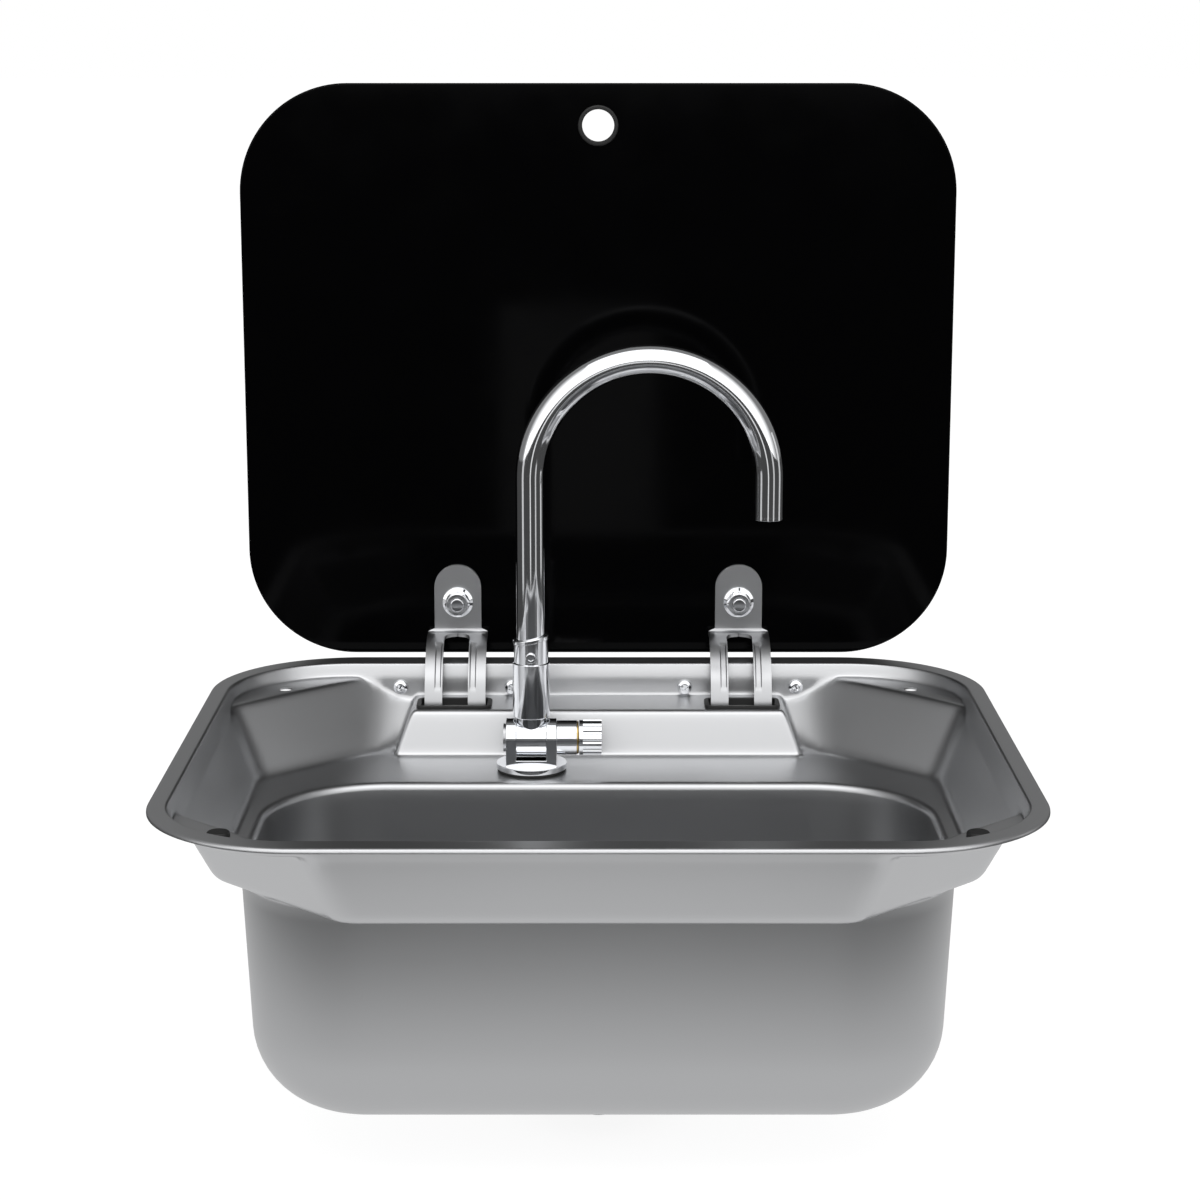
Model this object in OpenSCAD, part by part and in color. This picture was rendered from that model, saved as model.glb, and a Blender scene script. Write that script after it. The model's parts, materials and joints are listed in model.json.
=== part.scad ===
// Camper sink with a glass lid and a folding tap, let into a worktop.
// x runs to the right, y to the back and z up. The origin lies in the middle of the rim, on the worktop.
// The lid is drawn open and the tap upright.

/* [Rim] */
// Width of the rim over everything
rim_w = 420; // [400:1:460]
// Plan radius of the rim's corners
rim_corner_r = 76; // [72:1:90]
// Height of the rim above the worktop
rim_h = 2.2; // [2:0.1:4]
// Outer radius of the rolled edge
rim_edge_r = 1.7; // [1.3:0.1:1.9]
// Thickness of the steel sheet
sheet_t = 1; // [0.8:0.1:1.2]
// Width of the flat flange at each side
side_flange_w = 9.5; // [9:0.5:12]
// Width of the flat flange at the front
front_flange_w = 13.5; // [10:0.5:18]
// Width of the flat flange at the back
rear_flange_w = 17; // [16.5:0.5:20]
// Width of the foam seal under the rim
seal_w = 5; // [3:0.5:6]

/* [Recess for the lid] */
// Plan radius of the recess corners at the flange
recess_corner_r = 62; // [56:1:68]
// Radius of the edge from the flange into the recess
mouth_edge_r = 1.6; // [1.3:0.1:3]
// Depth of the step below the flange
step_depth = 13; // [11:0.5:15]
// How far the wall leans in over that step
step_run = 3.5; // [2:0.5:4]
// How far the side walls slope in below the step
side_slope_run = 15; // [8:0.5:18]
// How far the front wall slopes in below the step
front_slope_run = 7; // [4:0.5:12]
// How far the slope under the back wall runs in
rear_slope_run = 27; // [20:1:30]
// Depth of the shelf below the flange
shelf_depth = 42; // [40:1:48]
// Radius of the bends in the recess walls
wall_bend_r = 5; // [3:0.5:7]
// Depth of the corner platforms below the flange
platform_depth = 7.5; // [6.5:0.5:9]
// Length that a corner platform takes from each side of the recess
platform_leg = 72; // [66:1:78]
// How far the slope under a front platform runs in
front_chamfer_run = 16; // [10:1:18]
// How far the slope under a rear platform runs in
rear_chamfer_run = 28; // [16:1:32]
// Bore of the holes in the corner platforms
corner_hole_d = 7.5; // [6:0.1:8]
// Distance of these holes from the sides of the recess
corner_hole_inset_x = 27.5; // [24:0.5:30]
// Distance of these holes from the front and the back of the recess
corner_hole_inset_y = 30; // [26:0.5:32]

/* [Bowl] */
// Width of the bowl's opening
bowl_w = 341; // [300:1:346]
// Depth of the bowl's opening from front to back
bowl_d = 203; // [180:1:206]
// Width of the shelf in front of the bowl
front_shelf_w = 26; // [24:1:32]
// Width of the shelf behind the bowl
rear_shelf_w = 100; // [97:1:130]
// Depth of the bowl's floor below the flange
floor_depth = 159; // [130:1:180]
// Plan radius of the bowl's corners
bowl_corner_r = 60; // [56:1:70]
// Lean of the bowl's walls in degrees
bowl_draft = 2.7; // [1:0.1:4]
// Radius between the walls and the floor
floor_r = 41; // [20:1:44]
// Radius of the lip between the shelf and the bowl
bowl_lip_r = 4; // [2:0.5:4]

/* [Hinge ledge] */
// Width of the ledge at its top
ledge_w = 206; // [206:1:220]
// Depth of the ledge below the flange
ledge_depth = 18; // [17:0.5:18]
// How far each end of the ledge slopes out down to the shelf
ledge_side_run = 9; // [4:0.5:12]
// How far the front of the ledge slopes out down to the shelf
ledge_front_run = 7; // [4:0.5:9]
// Flat width in front of the rubber slot frames
ledge_margin = 3.5; // [3:0.5:5]

/* [Lid] */
// Gap behind the shut lid, up to the back of the recess
lid_rear_gap = 16.5; // [15.5:0.5:37.5]
// Thickness of the glass
lid_t = 5; // [4:0.5:6]
// Gap between the glass and the sides and front of the recess
lid_gap = 2; // [1.8:0.1:3]
// Radius of the polished edge
lid_edge_r = 1; // [0.5:0.1:1.5]
// Height of the rubber bumpers that the shut lid rests on
bumper_h = 2.8; // [2.2:0.1:3.4]
// Diameter of the bumpers
bumper_d = 10.8; // [10:0.1:13]
// Bore of the rubber ring in the finger hole
finger_bore_d = 17.7; // [15:0.1:20]
// Diameter over the lips of that ring
finger_ring_d = 22.4; // [22.2:0.1:26]
// Distance of the finger hole from the glass edge
finger_inset = 23; // [18:0.5:30]

/* [Hinges] */
// Distance of each hinge from the middle
hinge_x = 80; // [72:0.5:80.5]
// Depth of the hinge pins below the flange
pivot_depth = 24; // [23.5:0.25:25]
// Distance of the hinge pins behind the back wall of the recess
pivot_reach = 9.5; // [9.5:0.25:11]
// Diameter of the hinge pins
pin_d = 5; // [4:0.1:5.4]
// Thickness of the hinge arms
arm_t = 2; // [1.5:0.1:2.2]
// Width over both legs of an arm
arm_w = 34; // [30:0.5:36]
// Width of the window between the legs
window_w = 14.3; // [12:0.1:16]
// Width of the tab on the glass
tab_w = 26.6; // [24:0.1:29]
// Height of the tab's top above the pin
tab_reach = 75.8; // [70:0.1:82]
// Height of the clamping bolt above the pin
bolt_reach = 54.1; // [50:0.1:56]
// Outer radius of the quarter ring that passes through the slot
ring_r = 39; // [38:0.25:40]
// Height of the raised rib on each leg
rib_h = 0.5; // [0.3:0.1:0.6]
// Width of the raised rib
rib_w = 3.6; // [2:0.1:5]
// Thickness of the hinge boxes
box_t = 2; // [1.5:0.1:2.2]
// Distance of the box screws from the middle of the hinge
ear_x = 31.3; // [29:0.1:32]
// Diameter of the clamping bolts
clamp_bolt_d = 8; // [6:0.5:8]
// Diameter of the box screws
box_screw_d = 4; // [3:0.5:4]

/* [Tap] */
// Place of the tap across the sink
tap_x = -36; // [-45:0.5:-30]
// Distance of the tap behind the bowl's opening
tap_setback = 28.5; // [26:0.5:30]
// Diameter of the tube
tube_d = 15.6; // [12:0.1:16]
// Wall of the tube
tube_wall = 1.2; // [0.8:0.1:1.5]
// Radius of the gooseneck at the middle of the tube
spout_bend_r = 63.2; // [50:0.1:68]
// Height of the gooseneck's top above the flange
spout_h = 188.8; // [160:0.1:200]
// Length of the straight end of the spout, below its bend
outlet_l = 22; // [9:0.5:30]
// Diameter of the sleeve below its step
sleeve_d = 20; // [19:0.1:21]
// Height of the sleeve above the flange
sleeve_h = 29.5; // [24:0.5:34]
// Slant of the collar on the sleeve in degrees
collar_slant = 10; // [0:1:14]
// Depth of the fold axis below the flange
fold_depth = 24; // [22:0.5:26]
// Radius of the knuckle that folds
knuckle_r = 10; // [9:0.25:10.5]
// Width of the knuckle
knuckle_w = 16; // [14:0.5:18]
// Radius of the tap's foot on the shelf
foot_r = 19; // [18:0.5:20]
// Length of the threaded shank under the shelf
shank_l = 28; // [20:1:36]
// Diameter of the shank
shank_d = 20; // [18:0.5:21]
// Diameter of the control knob
knob_d = 19; // [16:0.5:20]
// Length of the control knob
knob_l = 12; // [9:0.5:15]
// Number of flutes round the knob
knob_flutes = 12; // [8:1:18]

/* [Drain] */
// Diameter of the drain hole in the floor
drain_hole_d = 52; // [48:1:56]
// Diameter of the pressed seat round the hole
drain_seat_d = 80; // [76:1:88]
// Depth of that seat
drain_seat_h = 2.5; // [2:0.1:3]
// Diameter of the outlet's hose tail
tail_d = 18; // [16:0.5:20]
// Length of the outlet's hose tail
tail_l = 30; // [20:1:50]
// Diameter of the plug's flat top
plug_top_d = 46; // [42:1:46]

/* [Fits] */
// Radial clearance where one piece turns or slides in another
running_fit = 0.05; // [0.03:0.01:0.08]
// Gap beside pieces that move past each other
side_gap = 0.4; // [0.3:0.05:0.6]
// Gap that is left between the shut lid and its bumpers
rest_gap = 0.2; // [0.1:0.05:0.4]
// Gap between the arms and the rubber slot frames
slot_gap = 1.4; // [1.2:0.1:1.8]

/* [Hidden] */
$fn = 48;

steel = [0.72, 0.73, 0.74];
chrome = [0.86, 0.87, 0.89];
black_glass = [0.04, 0.04, 0.045];
rubber = [0.06, 0.06, 0.06];
white_plastic = [0.9, 0.9, 0.88];
grey_plastic = [0.35, 0.36, 0.37];

// Cutting tools reach this far past what they cut
past = 1;
// Straight pieces that an arc is drawn with
arc_steps = 6;
// Longer than the sink in any direction
beyond = 500;

// Heights, all above the worktop
flange_z = rim_h;
flange_under_z = flange_z - sheet_t;
platform_z = flange_z - platform_depth;
step_z = flange_z - step_depth;
ledge_z = flange_z - ledge_depth;
pivot_z = flange_z - pivot_depth;
fold_z = flange_z - fold_depth;
shelf_z = flange_z - shelf_depth;
floor_z = flange_z - floor_depth;

// Plan of the recess
rim_d = front_flange_w + step_run + front_slope_run + front_shelf_w + bowl_d + rear_shelf_w + rear_flange_w;
recess_half_w = rim_w / 2 - side_flange_w;
recess_front_y = -rim_d / 2 + front_flange_w;
recess_rear_y = rim_d / 2 - rear_flange_w;
recess_mid_y = (recess_front_y + recess_rear_y) / 2;
recess_half_d = (recess_rear_y - recess_front_y) / 2;
rear_wall_y = recess_rear_y - lean(platform_z);
rear_wall_back_y = rear_wall_y + sheet_t;
rear_slope_drop = 2;

// Plan of the bowl
bowl_front_y = recess_front_y + step_run + front_slope_run + front_shelf_w;
bowl_mid_y = bowl_front_y + bowl_d / 2;
bowl_rear_y = bowl_front_y + bowl_d;

// The lid when it is shut
lid_rest_z = platform_z + bumper_h + rest_gap;
lid_half_w = recess_half_w - lid_gap;
lid_corner_r = recess_corner_r - lid_gap;
lid_front_y = recess_front_y + lid_gap;
lid_d = recess_rear_y - lid_rear_gap - lid_front_y;
finger_y = lid_front_y + finger_inset;
finger_lip_w = 1.3;
finger_hole_r = finger_ring_d / 2 - finger_lip_w;
finger_lip_h = 1.2;

// The hinges
pivot_y = rear_wall_y + pivot_reach;
bolt_y = pivot_y - bolt_reach;
pad_t = 0.5;
eye_r = pin_d / 2 + arm_t;
pin_bore_r = pin_d / 2 + running_fit;
ring_mid_r = ring_r - arm_t / 2;
ring_offset = [12.5, -2];
ring_centre = [pivot_y, pivot_z] + ring_offset;
tab_y = pivot_y + lid_rest_z - pivot_z - pad_t - arm_t / 2;
arm_bend_r = 3;
rib_from = 112;
rib_to = 158;
window_rear_gap = 2;
window_below_eye = 2;
clamp_hole_gap = 0.3;
clamp_hole_r = clamp_bolt_d / 2 + clamp_hole_gap;
bush_wall = 1.7;
bush_gap = 0.1;
bush_r = clamp_bolt_d / 2 + bush_gap + bush_wall;
glass_hole_r = bush_r + 2 * bush_gap;
bolt_head_r = 11;
bolt_head_h = 3;
outer_washer_t = 1;
clamp_nut_across = 13;
clamp_nut_flange_r = 8.75;
clamp_nut_flange_h = 1.6;
clamp_nut_h = 8;
clamp_bolt_spare = 1.5;

// The slots that the arms pass through
slot_rear_y = ring_centre.x - sqrt(pow(ring_r - arm_t, 2) - pow(ledge_z - ring_centre.y, 2)) + slot_gap;
shut_ring_centre = [pivot_y - ring_offset.y, pivot_z + ring_offset.x];
slot_reach = sqrt(pow(ring_r + rib_h, 2) - pow(ledge_z - shut_ring_centre.y, 2));
slot_front_y = shut_ring_centre.x - slot_reach - slot_gap;
slot_mid_y = (slot_front_y + slot_rear_y) / 2;
slot_open_half_d = (slot_rear_y - slot_front_y) / 2;
slot_open_half_w = arm_w / 2 + slot_gap;
slot_open_r = 2;
frame_wall = 1.3;
frame_lip = 1.2;
frame_lip_h = 1.5;
ledge_front_y = slot_front_y - frame_wall - frame_lip - ledge_margin;

// The boxes behind the back wall
cheek_x = arm_w / 2 + side_gap;
box_inset = 0.5;
box_top_z = platform_z - box_inset;
box_low_z = pivot_z + eye_r + side_gap;
screw_lift = 0.6;
screw_z = (box_top_z + box_low_z) / 2 + screw_lift;
ear_margin = 5.5;
box_half_w = ear_x + ear_margin;
cheek_wall = 3;
cheek_r = pin_d / 2 + cheek_wall;
pin_head_lip = 1.5;
pin_head_r = pin_d / 2 + pin_head_lip;
pin_head_h = 1.4;
clip_t = 0.8;
clip_groove = 0.4;
clip_rim = 0.4;
clip_x = cheek_x + box_t + 0.1;
pin_tip = 1.5;
pin_end_x = clip_x + clip_t + pin_tip;
box_screw_head_r = 1.04 * box_screw_d;
box_screw_head_h = 2.6;
box_nut_across = box_screw_d * 1.75;
box_nut_h = 3.2;

// The tap
tap_y = bowl_rear_y + tap_setback;
gasket_t = 1.5;
foot_h = 3;
foot_z = shelf_z + gasket_t;
shank_gap = 0.4;
shank_hole_r = shank_d / 2 + shank_gap;
washer_gap = 0.2;
knuckle_gap = 0.1;
cheek_in_x = knuckle_w / 2 + knuckle_gap;
cheek_side_r = knuckle_r + 0.5;
cheek_w = 5.5;
cheek_out_x = cheek_in_x + cheek_w;
housing_l = 11;
housing_r = 9.4;
housing_end_x = cheek_out_x + housing_l;
fold_pin_r = 5;
fold_pin_wall = 2;
fold_pin_head_h = 1.5;
fold_pin_head_lip = 2.5;
fold_seal_w = 1.4;
fold_seal_t = 1.8;
water_bore_r = 4.5;
cartridge_r = 6;
cartridge_start_x = cheek_out_x + 1.7;
cartridge_seat_x = cheek_out_x + 1.5;
cartridge_cup_end_x = cheek_out_x + 7;
cartridge_cup_wall = 2;
cartridge_flange_t = 0.8;
spindle_r = 3;
spindle_depth = 4;
spindle_end_gap = 0.2;
tube_r = tube_d / 2;
sleeve_low_gap = 2;
sleeve_low_z = fold_z + knuckle_r + sleeve_low_gap;
sleeve_step_h = 18;
sleeve_step_z = flange_z + sleeve_step_h;
sleeve_top_z = flange_z + sleeve_h;
sleeve_step_w = 0.8;
sleeve_upper_r = sleeve_d / 2 - sleeve_step_w;
collar_h = 2.3;
collar_lip = 0.5;
seal_t = 2;
seal_lip = 0.8;
neck_drop = 2;
neck_top_z = flange_z - neck_drop;
tube_low_z = neck_top_z + seal_t;
sleeve_screw_r = 2.8;
sleeve_screw_rise = 4;
sleeve_screw_z = sleeve_step_z + sleeve_screw_rise;
sleeve_screw_head_h = 1.2;
sleeve_screw_tip_gap = 0.35;
bend_z = flange_z + spout_h - tube_r - spout_bend_r;
outlet_z = bend_z - outlet_l;
aerator_lip_h = 1.6;
aerator_l = 7;
aerator_holes = 8;
aerator_hole_r = 0.9;
aerator_middle_r = 1.4;
knob_gap = 1.2;
knob_start_x = housing_end_x + knob_gap;
knob_end_x = knob_start_x + knob_l;
knob_wall = 3;
knob_cap_t = 2;
inlet_bore_r = 3;
backing_t = 2;
tap_nut_wall = 3.5;
tap_nut_across = shank_d + 2 * tap_nut_wall;
tap_nut_h = 6;
inlet_l = 26;

// The drain
seat_z = floor_z - drain_seat_h;
upper_gasket_t = 0.8;
lower_gasket_t = 2;
flange_disc_t = 1;
cup_gap = 1.5;
cup_r = drain_hole_d / 2 - cup_gap;
cup_wall = 1;
gasket_gap = 0.3;
screw_seat_t = 2;
cup_depth = 9;
drain_flange_r = drain_seat_d / 2 - cup_gap;
drain_rim_z = seat_z + upper_gasket_t;
drain_disc_top_z = drain_rim_z + flange_disc_t;
cup_low_z = drain_rim_z - cup_depth;
under_seat_z = seat_z - sheet_t;
body_top_z = under_seat_z - lower_gasket_t;
body_flange_inset = 4;
body_flange_r = drain_seat_d / 2 - body_flange_inset;
body_flange_h = 3;
body_wall = 2.2;
body_gap = 0.8;
body_r = cup_r + body_wall + body_gap;
body_low_z = cup_low_z - body_wall - body_gap;
hose_stop_h = 1;
hose_stop_l = 2;
hose_relief = 0.3;
drain_screw_d = 6;
drain_screw_head_lip = 2;
drain_screw_head_h = 2;
post_wall = 1.6;
post_r = drain_screw_d / 2 + post_wall;
tail_z = body_top_z - tail_d / 2 - 0.2;
sump_r = tail_d / 2 + 2;
sump_low_z = tail_z - tail_d / 2;

// The plug
plug_stem_r = cup_r - cup_wall - 3;
plug_lip = 1.5;
plug_seal_t = 2;
plug_seal_gap = 0.1;
plug_groove_z = drain_disc_top_z - 4;
plug_foot_h = 1.2;
plug_under_z = drain_disc_top_z + 0.3;
plug_edge_z = plug_under_z + 2.5;
plug_top_z = plug_edge_z + 0.8;
plug_overhang = 3;

// How far the wall of the recess has leaned in at a height
function lean(z) = step_run * (flange_z - z) / step_depth;

// Unit vector from one point to another
function towards(a, b) = ([b.x, b.y] - [a.x, a.y]) / norm([b.x, b.y] - [a.x, a.y]);

// Outlines are lists of [x, y, corner radius] and run anticlockwise.
// This gives the same outline with every edge moved outward by gap.
function grown(outline, gap) = [
    for (i = [0 : len(outline) - 1])
        let (
            last = len(outline) - 1,
            here = outline[i],
            a = towards(outline[i == 0 ? last : i - 1], here),
            b = towards(here, outline[i == last ? 0 : i + 1]),
            out_a = [a.y, -a.x],
            out_b = [b.y, -b.x],
            moved = [here.x, here.y] + gap * (out_a + out_b) / (1 + out_a * out_b),
            radius = here.z == 0 ? 0 : max(0, here.z + (cross(a, b) > 0 ? gap : -gap))
        )
        [moved.x, moved.y, radius]
];

// The points of an outline, its corners drawn as arcs
function rounded(outline, steps = arc_steps) = [
    for (i = [0 : len(outline) - 1])
        let (
            last = len(outline) - 1,
            here = outline[i],
            corner = [here.x, here.y],
            a = towards(outline[i == 0 ? last : i - 1], here),
            b = towards(here, outline[i == last ? 0 : i + 1]),
            bend = acos(a * b),
            side = sign(cross(a, b)),
            start = corner - a * here.z * tan(bend / 2),
            centre = start + side * here.z * [-a.y, a.x],
            from = atan2(start.y - centre.y, start.x - centre.x)
        )
        if (here.z == 0)
            corner
        else
            for (k = [0 : steps])
                centre + here.z * [cos(from + side * bend * k / steps), sin(from + side * bend * k / steps)]
];

// Points that start at the middle line, none of them beyond it
function from_axis(points) = [for (p = points) [max(0, p.x), p.y]];

// Points along an arc, without its first one where another curve has ended there
function arc(centre, r, from, to, steps, first = 0) = [
    for (k = [first : steps])
        centre + r * [cos(from + (to - from) * k / steps), sin(from + (to - from) * k / steps)]
];

// The two sides of a bent strip of thickness t that follows a path
function edge_of_strip(path, offset) = [
    for (i = [0 : len(path) - 1])
        let (
            last = len(path) - 1,
            a = towards(path[max(0, i - 1)], path[max(1, i)]),
            b = towards(path[min(last - 1, i)], path[min(last, i + 1)]),
            out_a = [a.y, -a.x],
            out_b = [b.y, -b.x]
        )
        path[i] + offset * (out_a + out_b) / (1 + out_a * out_b)
];
function strip(path, t) = let (other = edge_of_strip(path, -t / 2)) concat(
    edge_of_strip(path, t / 2),
    [for (i = [len(other) - 1 : -1 : 0]) other[i]]
);

// An outline in x and z, drawn out along y
module along_y(points, length) {
    rotate([90, 0, 0])
        linear_extrude(length, center = true)
            polygon(points);
}

// An outline in y and z, drawn out along x
module along_x(points, length) {
    rotate([90, 0, 90])
        linear_extrude(length, center = true)
            polygon(points);
}

// A cylinder along x from one place to another
module rod_x(from, to, r) {
    translate([from, 0, 0])
        rotate([0, 90, 0])
            cylinder(h = to - from, r = r);
}

// A cylinder along y from one place to another
module rod_y(from, to, r) {
    translate([0, from, 0])
        rotate([-90, 0, 0])
            cylinder(h = to - from, r = r);
}

// A cylinder along z from one place to another
module rod_z(from, to, r) {
    translate([0, 0, from])
        cylinder(h = to - from, r = r);
}

// A tube along z
module ring_z(from, to, outer_r, inner_r) {
    difference() {
        rod_z(from, to, outer_r);
        rod_z(from - past, to + past, inner_r);
    }
}

// A hexagonal nut along z, with its bore
module hex_nut(from, to, across, bore_r) {
    difference() {
        translate([0, 0, from])
            cylinder(h = to - from, d = across / cos(30), $fn = 6);
        rod_z(from - past, to + past, bore_r);
    }
}

// Carries points round a rectangle with round corners. Their x is measured from a corner's centre.
module carried_round(half_w, half_d, corner_r, points) {
    reach = [half_w - corner_r, half_d - corner_r];
    for (side = [0 : 3]) {
        out = side % 2 == 0 ? reach.x : reach.y;
        along = side % 2 == 0 ? reach.y : reach.x;
        rotate(90 * side)
            translate([out, along, 0]) {
                rotate_extrude(angle = 90)
                    polygon(points);
                rotate([90, 0, 0])
                    linear_extrude(2 * along)
                        polygon(points);
            }
    }
}

// The same, filled in the middle
module filled_round(half_w, half_d, corner_r, points) {
    low = min([for (p = points) p.y]);
    high = max([for (p = points) p.y]);
    carried_round(half_w, half_d, corner_r, points);
    translate([corner_r - half_w, corner_r - half_d, low])
        cube([2 * (half_w - corner_r), 2 * (half_d - corner_r), high - low]);
}

// Repeats a piece at both hinges
module at_hinges() {
    for (side = [-1, 1])
        translate([side * hinge_x, 0, 0])
            children();
}

// Turns a piece that is drawn shut to the open lid's place
module opened() {
    translate([0, pivot_y, pivot_z])
        rotate([-90, 0, 0])
            translate([0, -pivot_y, -pivot_z])
                children();
}

// The pressed basin

// Space of the recess beside the lid, down to the corner platforms
module mouth_space(gap) {
    outline = [
        [0, platform_z, 0],
        [recess_corner_r - lean(platform_z), platform_z, mouth_edge_r],
        [recess_corner_r, flange_z, mouth_edge_r],
        [recess_corner_r + 4, flange_z, 0],
        [recess_corner_r + 4, flange_z + past, 0],
        [0, flange_z + past, 0]
    ];
    translate([0, recess_mid_y, 0])
        filled_round(recess_half_w, recess_half_d, recess_corner_r, from_axis(rounded(grown(outline, gap))));
}

// Space between the platforms and the shelf
module middle_space(gap) {
    top_z = platform_z + 2;
    top_x = recess_half_w - lean(top_z);
    step_x = recess_half_w - step_run;
    low_x = step_x - side_slope_run;
    across = [
        [-low_x, shelf_z, wall_bend_r],
        [low_x, shelf_z, wall_bend_r],
        [step_x, step_z, wall_bend_r],
        [top_x, top_z, 0],
        [-top_x, top_z, 0],
        [-step_x, step_z, wall_bend_r]
    ];
    lengthwise = [
        [recess_front_y + step_run + front_slope_run, shelf_z, wall_bend_r],
        [rear_wall_y - rear_slope_run, shelf_z, wall_bend_r],
        [rear_wall_y, ledge_z - rear_slope_drop, wall_bend_r / 2],
        [rear_wall_y, top_z, 0],
        [recess_front_y + lean(top_z), top_z, 0],
        [recess_front_y + step_run, step_z, wall_bend_r]
    ];
    chord = (recess_half_w + recess_half_d - platform_leg) / sqrt(2);
    diagonal = [
        [front_chamfer_run - chord, shelf_z, wall_bend_r],
        [chord - rear_chamfer_run, shelf_z, wall_bend_r],
        [chord, platform_z, 0],
        [chord, top_z, 0],
        [-chord, top_z, 0],
        [-chord, platform_z, 0]
    ];
    intersection() {
        along_y(rounded(grown(across, gap)), beyond);
        along_x(rounded(grown(lengthwise, gap)), beyond);
        translate([0, recess_mid_y, 0])
            rotate(45)
                along_y(rounded(grown(diagonal, gap)), beyond);
        translate([0, recess_mid_y, 0])
            mirror([1, 0, 0])
                rotate(45)
                    along_y(rounded(grown(diagonal, gap)), beyond);
    }
}

// The raised block at the back that carries the hinge slots
module ledge_block(gap) {
    below_z = shelf_z - 2 * past - sheet_t;
    behind_y = recess_rear_y + 4 * past;
    half_w = ledge_w / 2;
    from_side = [
        [ledge_front_y - ledge_front_run, below_z, 0],
        [behind_y, below_z, 0],
        [behind_y, ledge_z, 0],
        [ledge_front_y, ledge_z, wall_bend_r / 2],
        [ledge_front_y - ledge_front_run, shelf_z, 0]
    ];
    from_front = [
        [-half_w - ledge_side_run, below_z, 0],
        [half_w + ledge_side_run, below_z, 0],
        [half_w + ledge_side_run, shelf_z, 0],
        [half_w, ledge_z, wall_bend_r / 3],
        [-half_w, ledge_z, wall_bend_r / 3],
        [-half_w - ledge_side_run, shelf_z, 0]
    ];
    intersection() {
        along_x(rounded(grown(from_side, gap)), beyond);
        along_y(rounded(grown(from_front, gap)), beyond);
    }
}

// Space of the bowl, with the pressed seat of the drain
module bowl_space(gap) {
    wall_run = (shelf_z - floor_z) * tan(bowl_draft);
    outline = [
        [0, floor_z, 0],
        [bowl_corner_r - wall_run, floor_z, floor_r],
        [bowl_corner_r, shelf_z, bowl_lip_r],
        [bowl_corner_r + bowl_lip_r, shelf_z, 0],
        [bowl_corner_r + bowl_lip_r, shelf_z + past, 0],
        [0, shelf_z + past, 0]
    ];
    translate([0, bowl_mid_y, 0]) {
        filled_round(bowl_w / 2, bowl_d / 2, bowl_corner_r, from_axis(rounded(grown(outline, gap), 10)));
        rod_z(seat_z - gap, floor_z + past, drain_seat_d / 2 + gap);
    }
}

// All that the sheet encloses, every wall moved outward by gap
module basin_space(gap) {
    mouth_space(gap);
    difference() {
        middle_space(gap);
        ledge_block(-gap);
    }
    bowl_space(gap);
}

module rim_plate() {
    outline = [
        [0, flange_under_z, 0],
        [rim_corner_r - sheet_t, flange_under_z, max(0.05, rim_edge_r - sheet_t)],
        [rim_corner_r - sheet_t, 0, 0],
        [rim_corner_r, 0, 0],
        [rim_corner_r, flange_z, rim_edge_r],
        [0, flange_z, 0]
    ];
    filled_round(rim_w / 2, rim_d / 2, rim_corner_r, rounded(outline));
}

// Plan of a slot's opening, widened by grow
module slot_plan(grow) {
    reach = [slot_open_half_w - slot_open_r, slot_open_half_d - slot_open_r];
    r = slot_open_r + grow;
    translate([0, slot_mid_y]) {
        square([2 * reach.x, 2 * (reach.y + r)], center = true);
        square([2 * (reach.x + r), 2 * reach.y], center = true);
        for (side = [-1, 1], end = [-1, 1])
            translate([side * reach.x, end * reach.y])
                circle(r);
    }
}

// An upright prism on that plan
module slot_prism(grow, low, high) {
    translate([0, 0, low])
        linear_extrude(high - low)
            slot_plan(grow);
}

module at_corner_holes(rows) {
    for (side = [-1, 1], row = rows)
        translate([
            side * (recess_half_w - corner_hole_inset_x),
            recess_mid_y + row * (recess_half_d - corner_hole_inset_y),
            0
        ])
            children();
}

module at_box_screws() {
    at_hinges()
        for (side = [-1, 1])
            translate([side * ear_x, 0, screw_z])
                children();
}

module sink_basin() {
    color(steel)
        difference() {
            union() {
                rim_plate();
                intersection() {
                    translate([-beyond / 2, -beyond / 2, flange_z - beyond])
                        cube(beyond);
                    basin_space(sheet_t);
                }
            }
            basin_space(0);
            at_corner_holes([-1, 1])
                rod_z(platform_z - sheet_t - past, platform_z + past, corner_hole_d / 2);
            at_hinges()
                slot_prism(frame_wall, ledge_z - sheet_t - past, ledge_z + past);
            at_box_screws()
                rod_y(rear_wall_y - past, rear_wall_back_y + past, box_screw_d / 2 + 0.2);
            translate([tap_x, tap_y, 0])
                rod_z(shelf_z - sheet_t - past, shelf_z + past, shank_hole_r);
            translate([0, bowl_mid_y, 0])
                rod_z(under_seat_z - past, seat_z + past, drain_hole_d / 2);
        }
}

module rim_seal() {
    outer_r = rim_corner_r - sheet_t - 0.3;
    inner_r = outer_r - seal_w;
    color(rubber)
        carried_round(
            rim_w / 2, rim_d / 2, rim_corner_r,
            [[inner_r, 0], [outer_r, 0], [outer_r, flange_under_z - 0.3], [inner_r, flange_under_z]]
        );
}

module lid_bumpers() {
    stem_r = corner_hole_d / 2 - 0.1;
    under_z = platform_z - sheet_t;
    bulb_h = 2.5;
    bulb_lip = 0.8;
    tip_inset = 0.6;
    outline = [
        [0, under_z - bulb_h, 0],
        [stem_r - tip_inset, under_z - bulb_h, 0],
        [stem_r + bulb_lip, under_z, 0],
        [stem_r, under_z, 0],
        [stem_r, platform_z, 0],
        [bumper_d / 2, platform_z, 0],
        [bumper_d / 2, platform_z + bumper_h, 1],
        [0, platform_z + bumper_h, 0]
    ];
    color(rubber)
        at_corner_holes([-1])
            rotate_extrude()
                polygon(rounded(outline));
}

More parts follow.
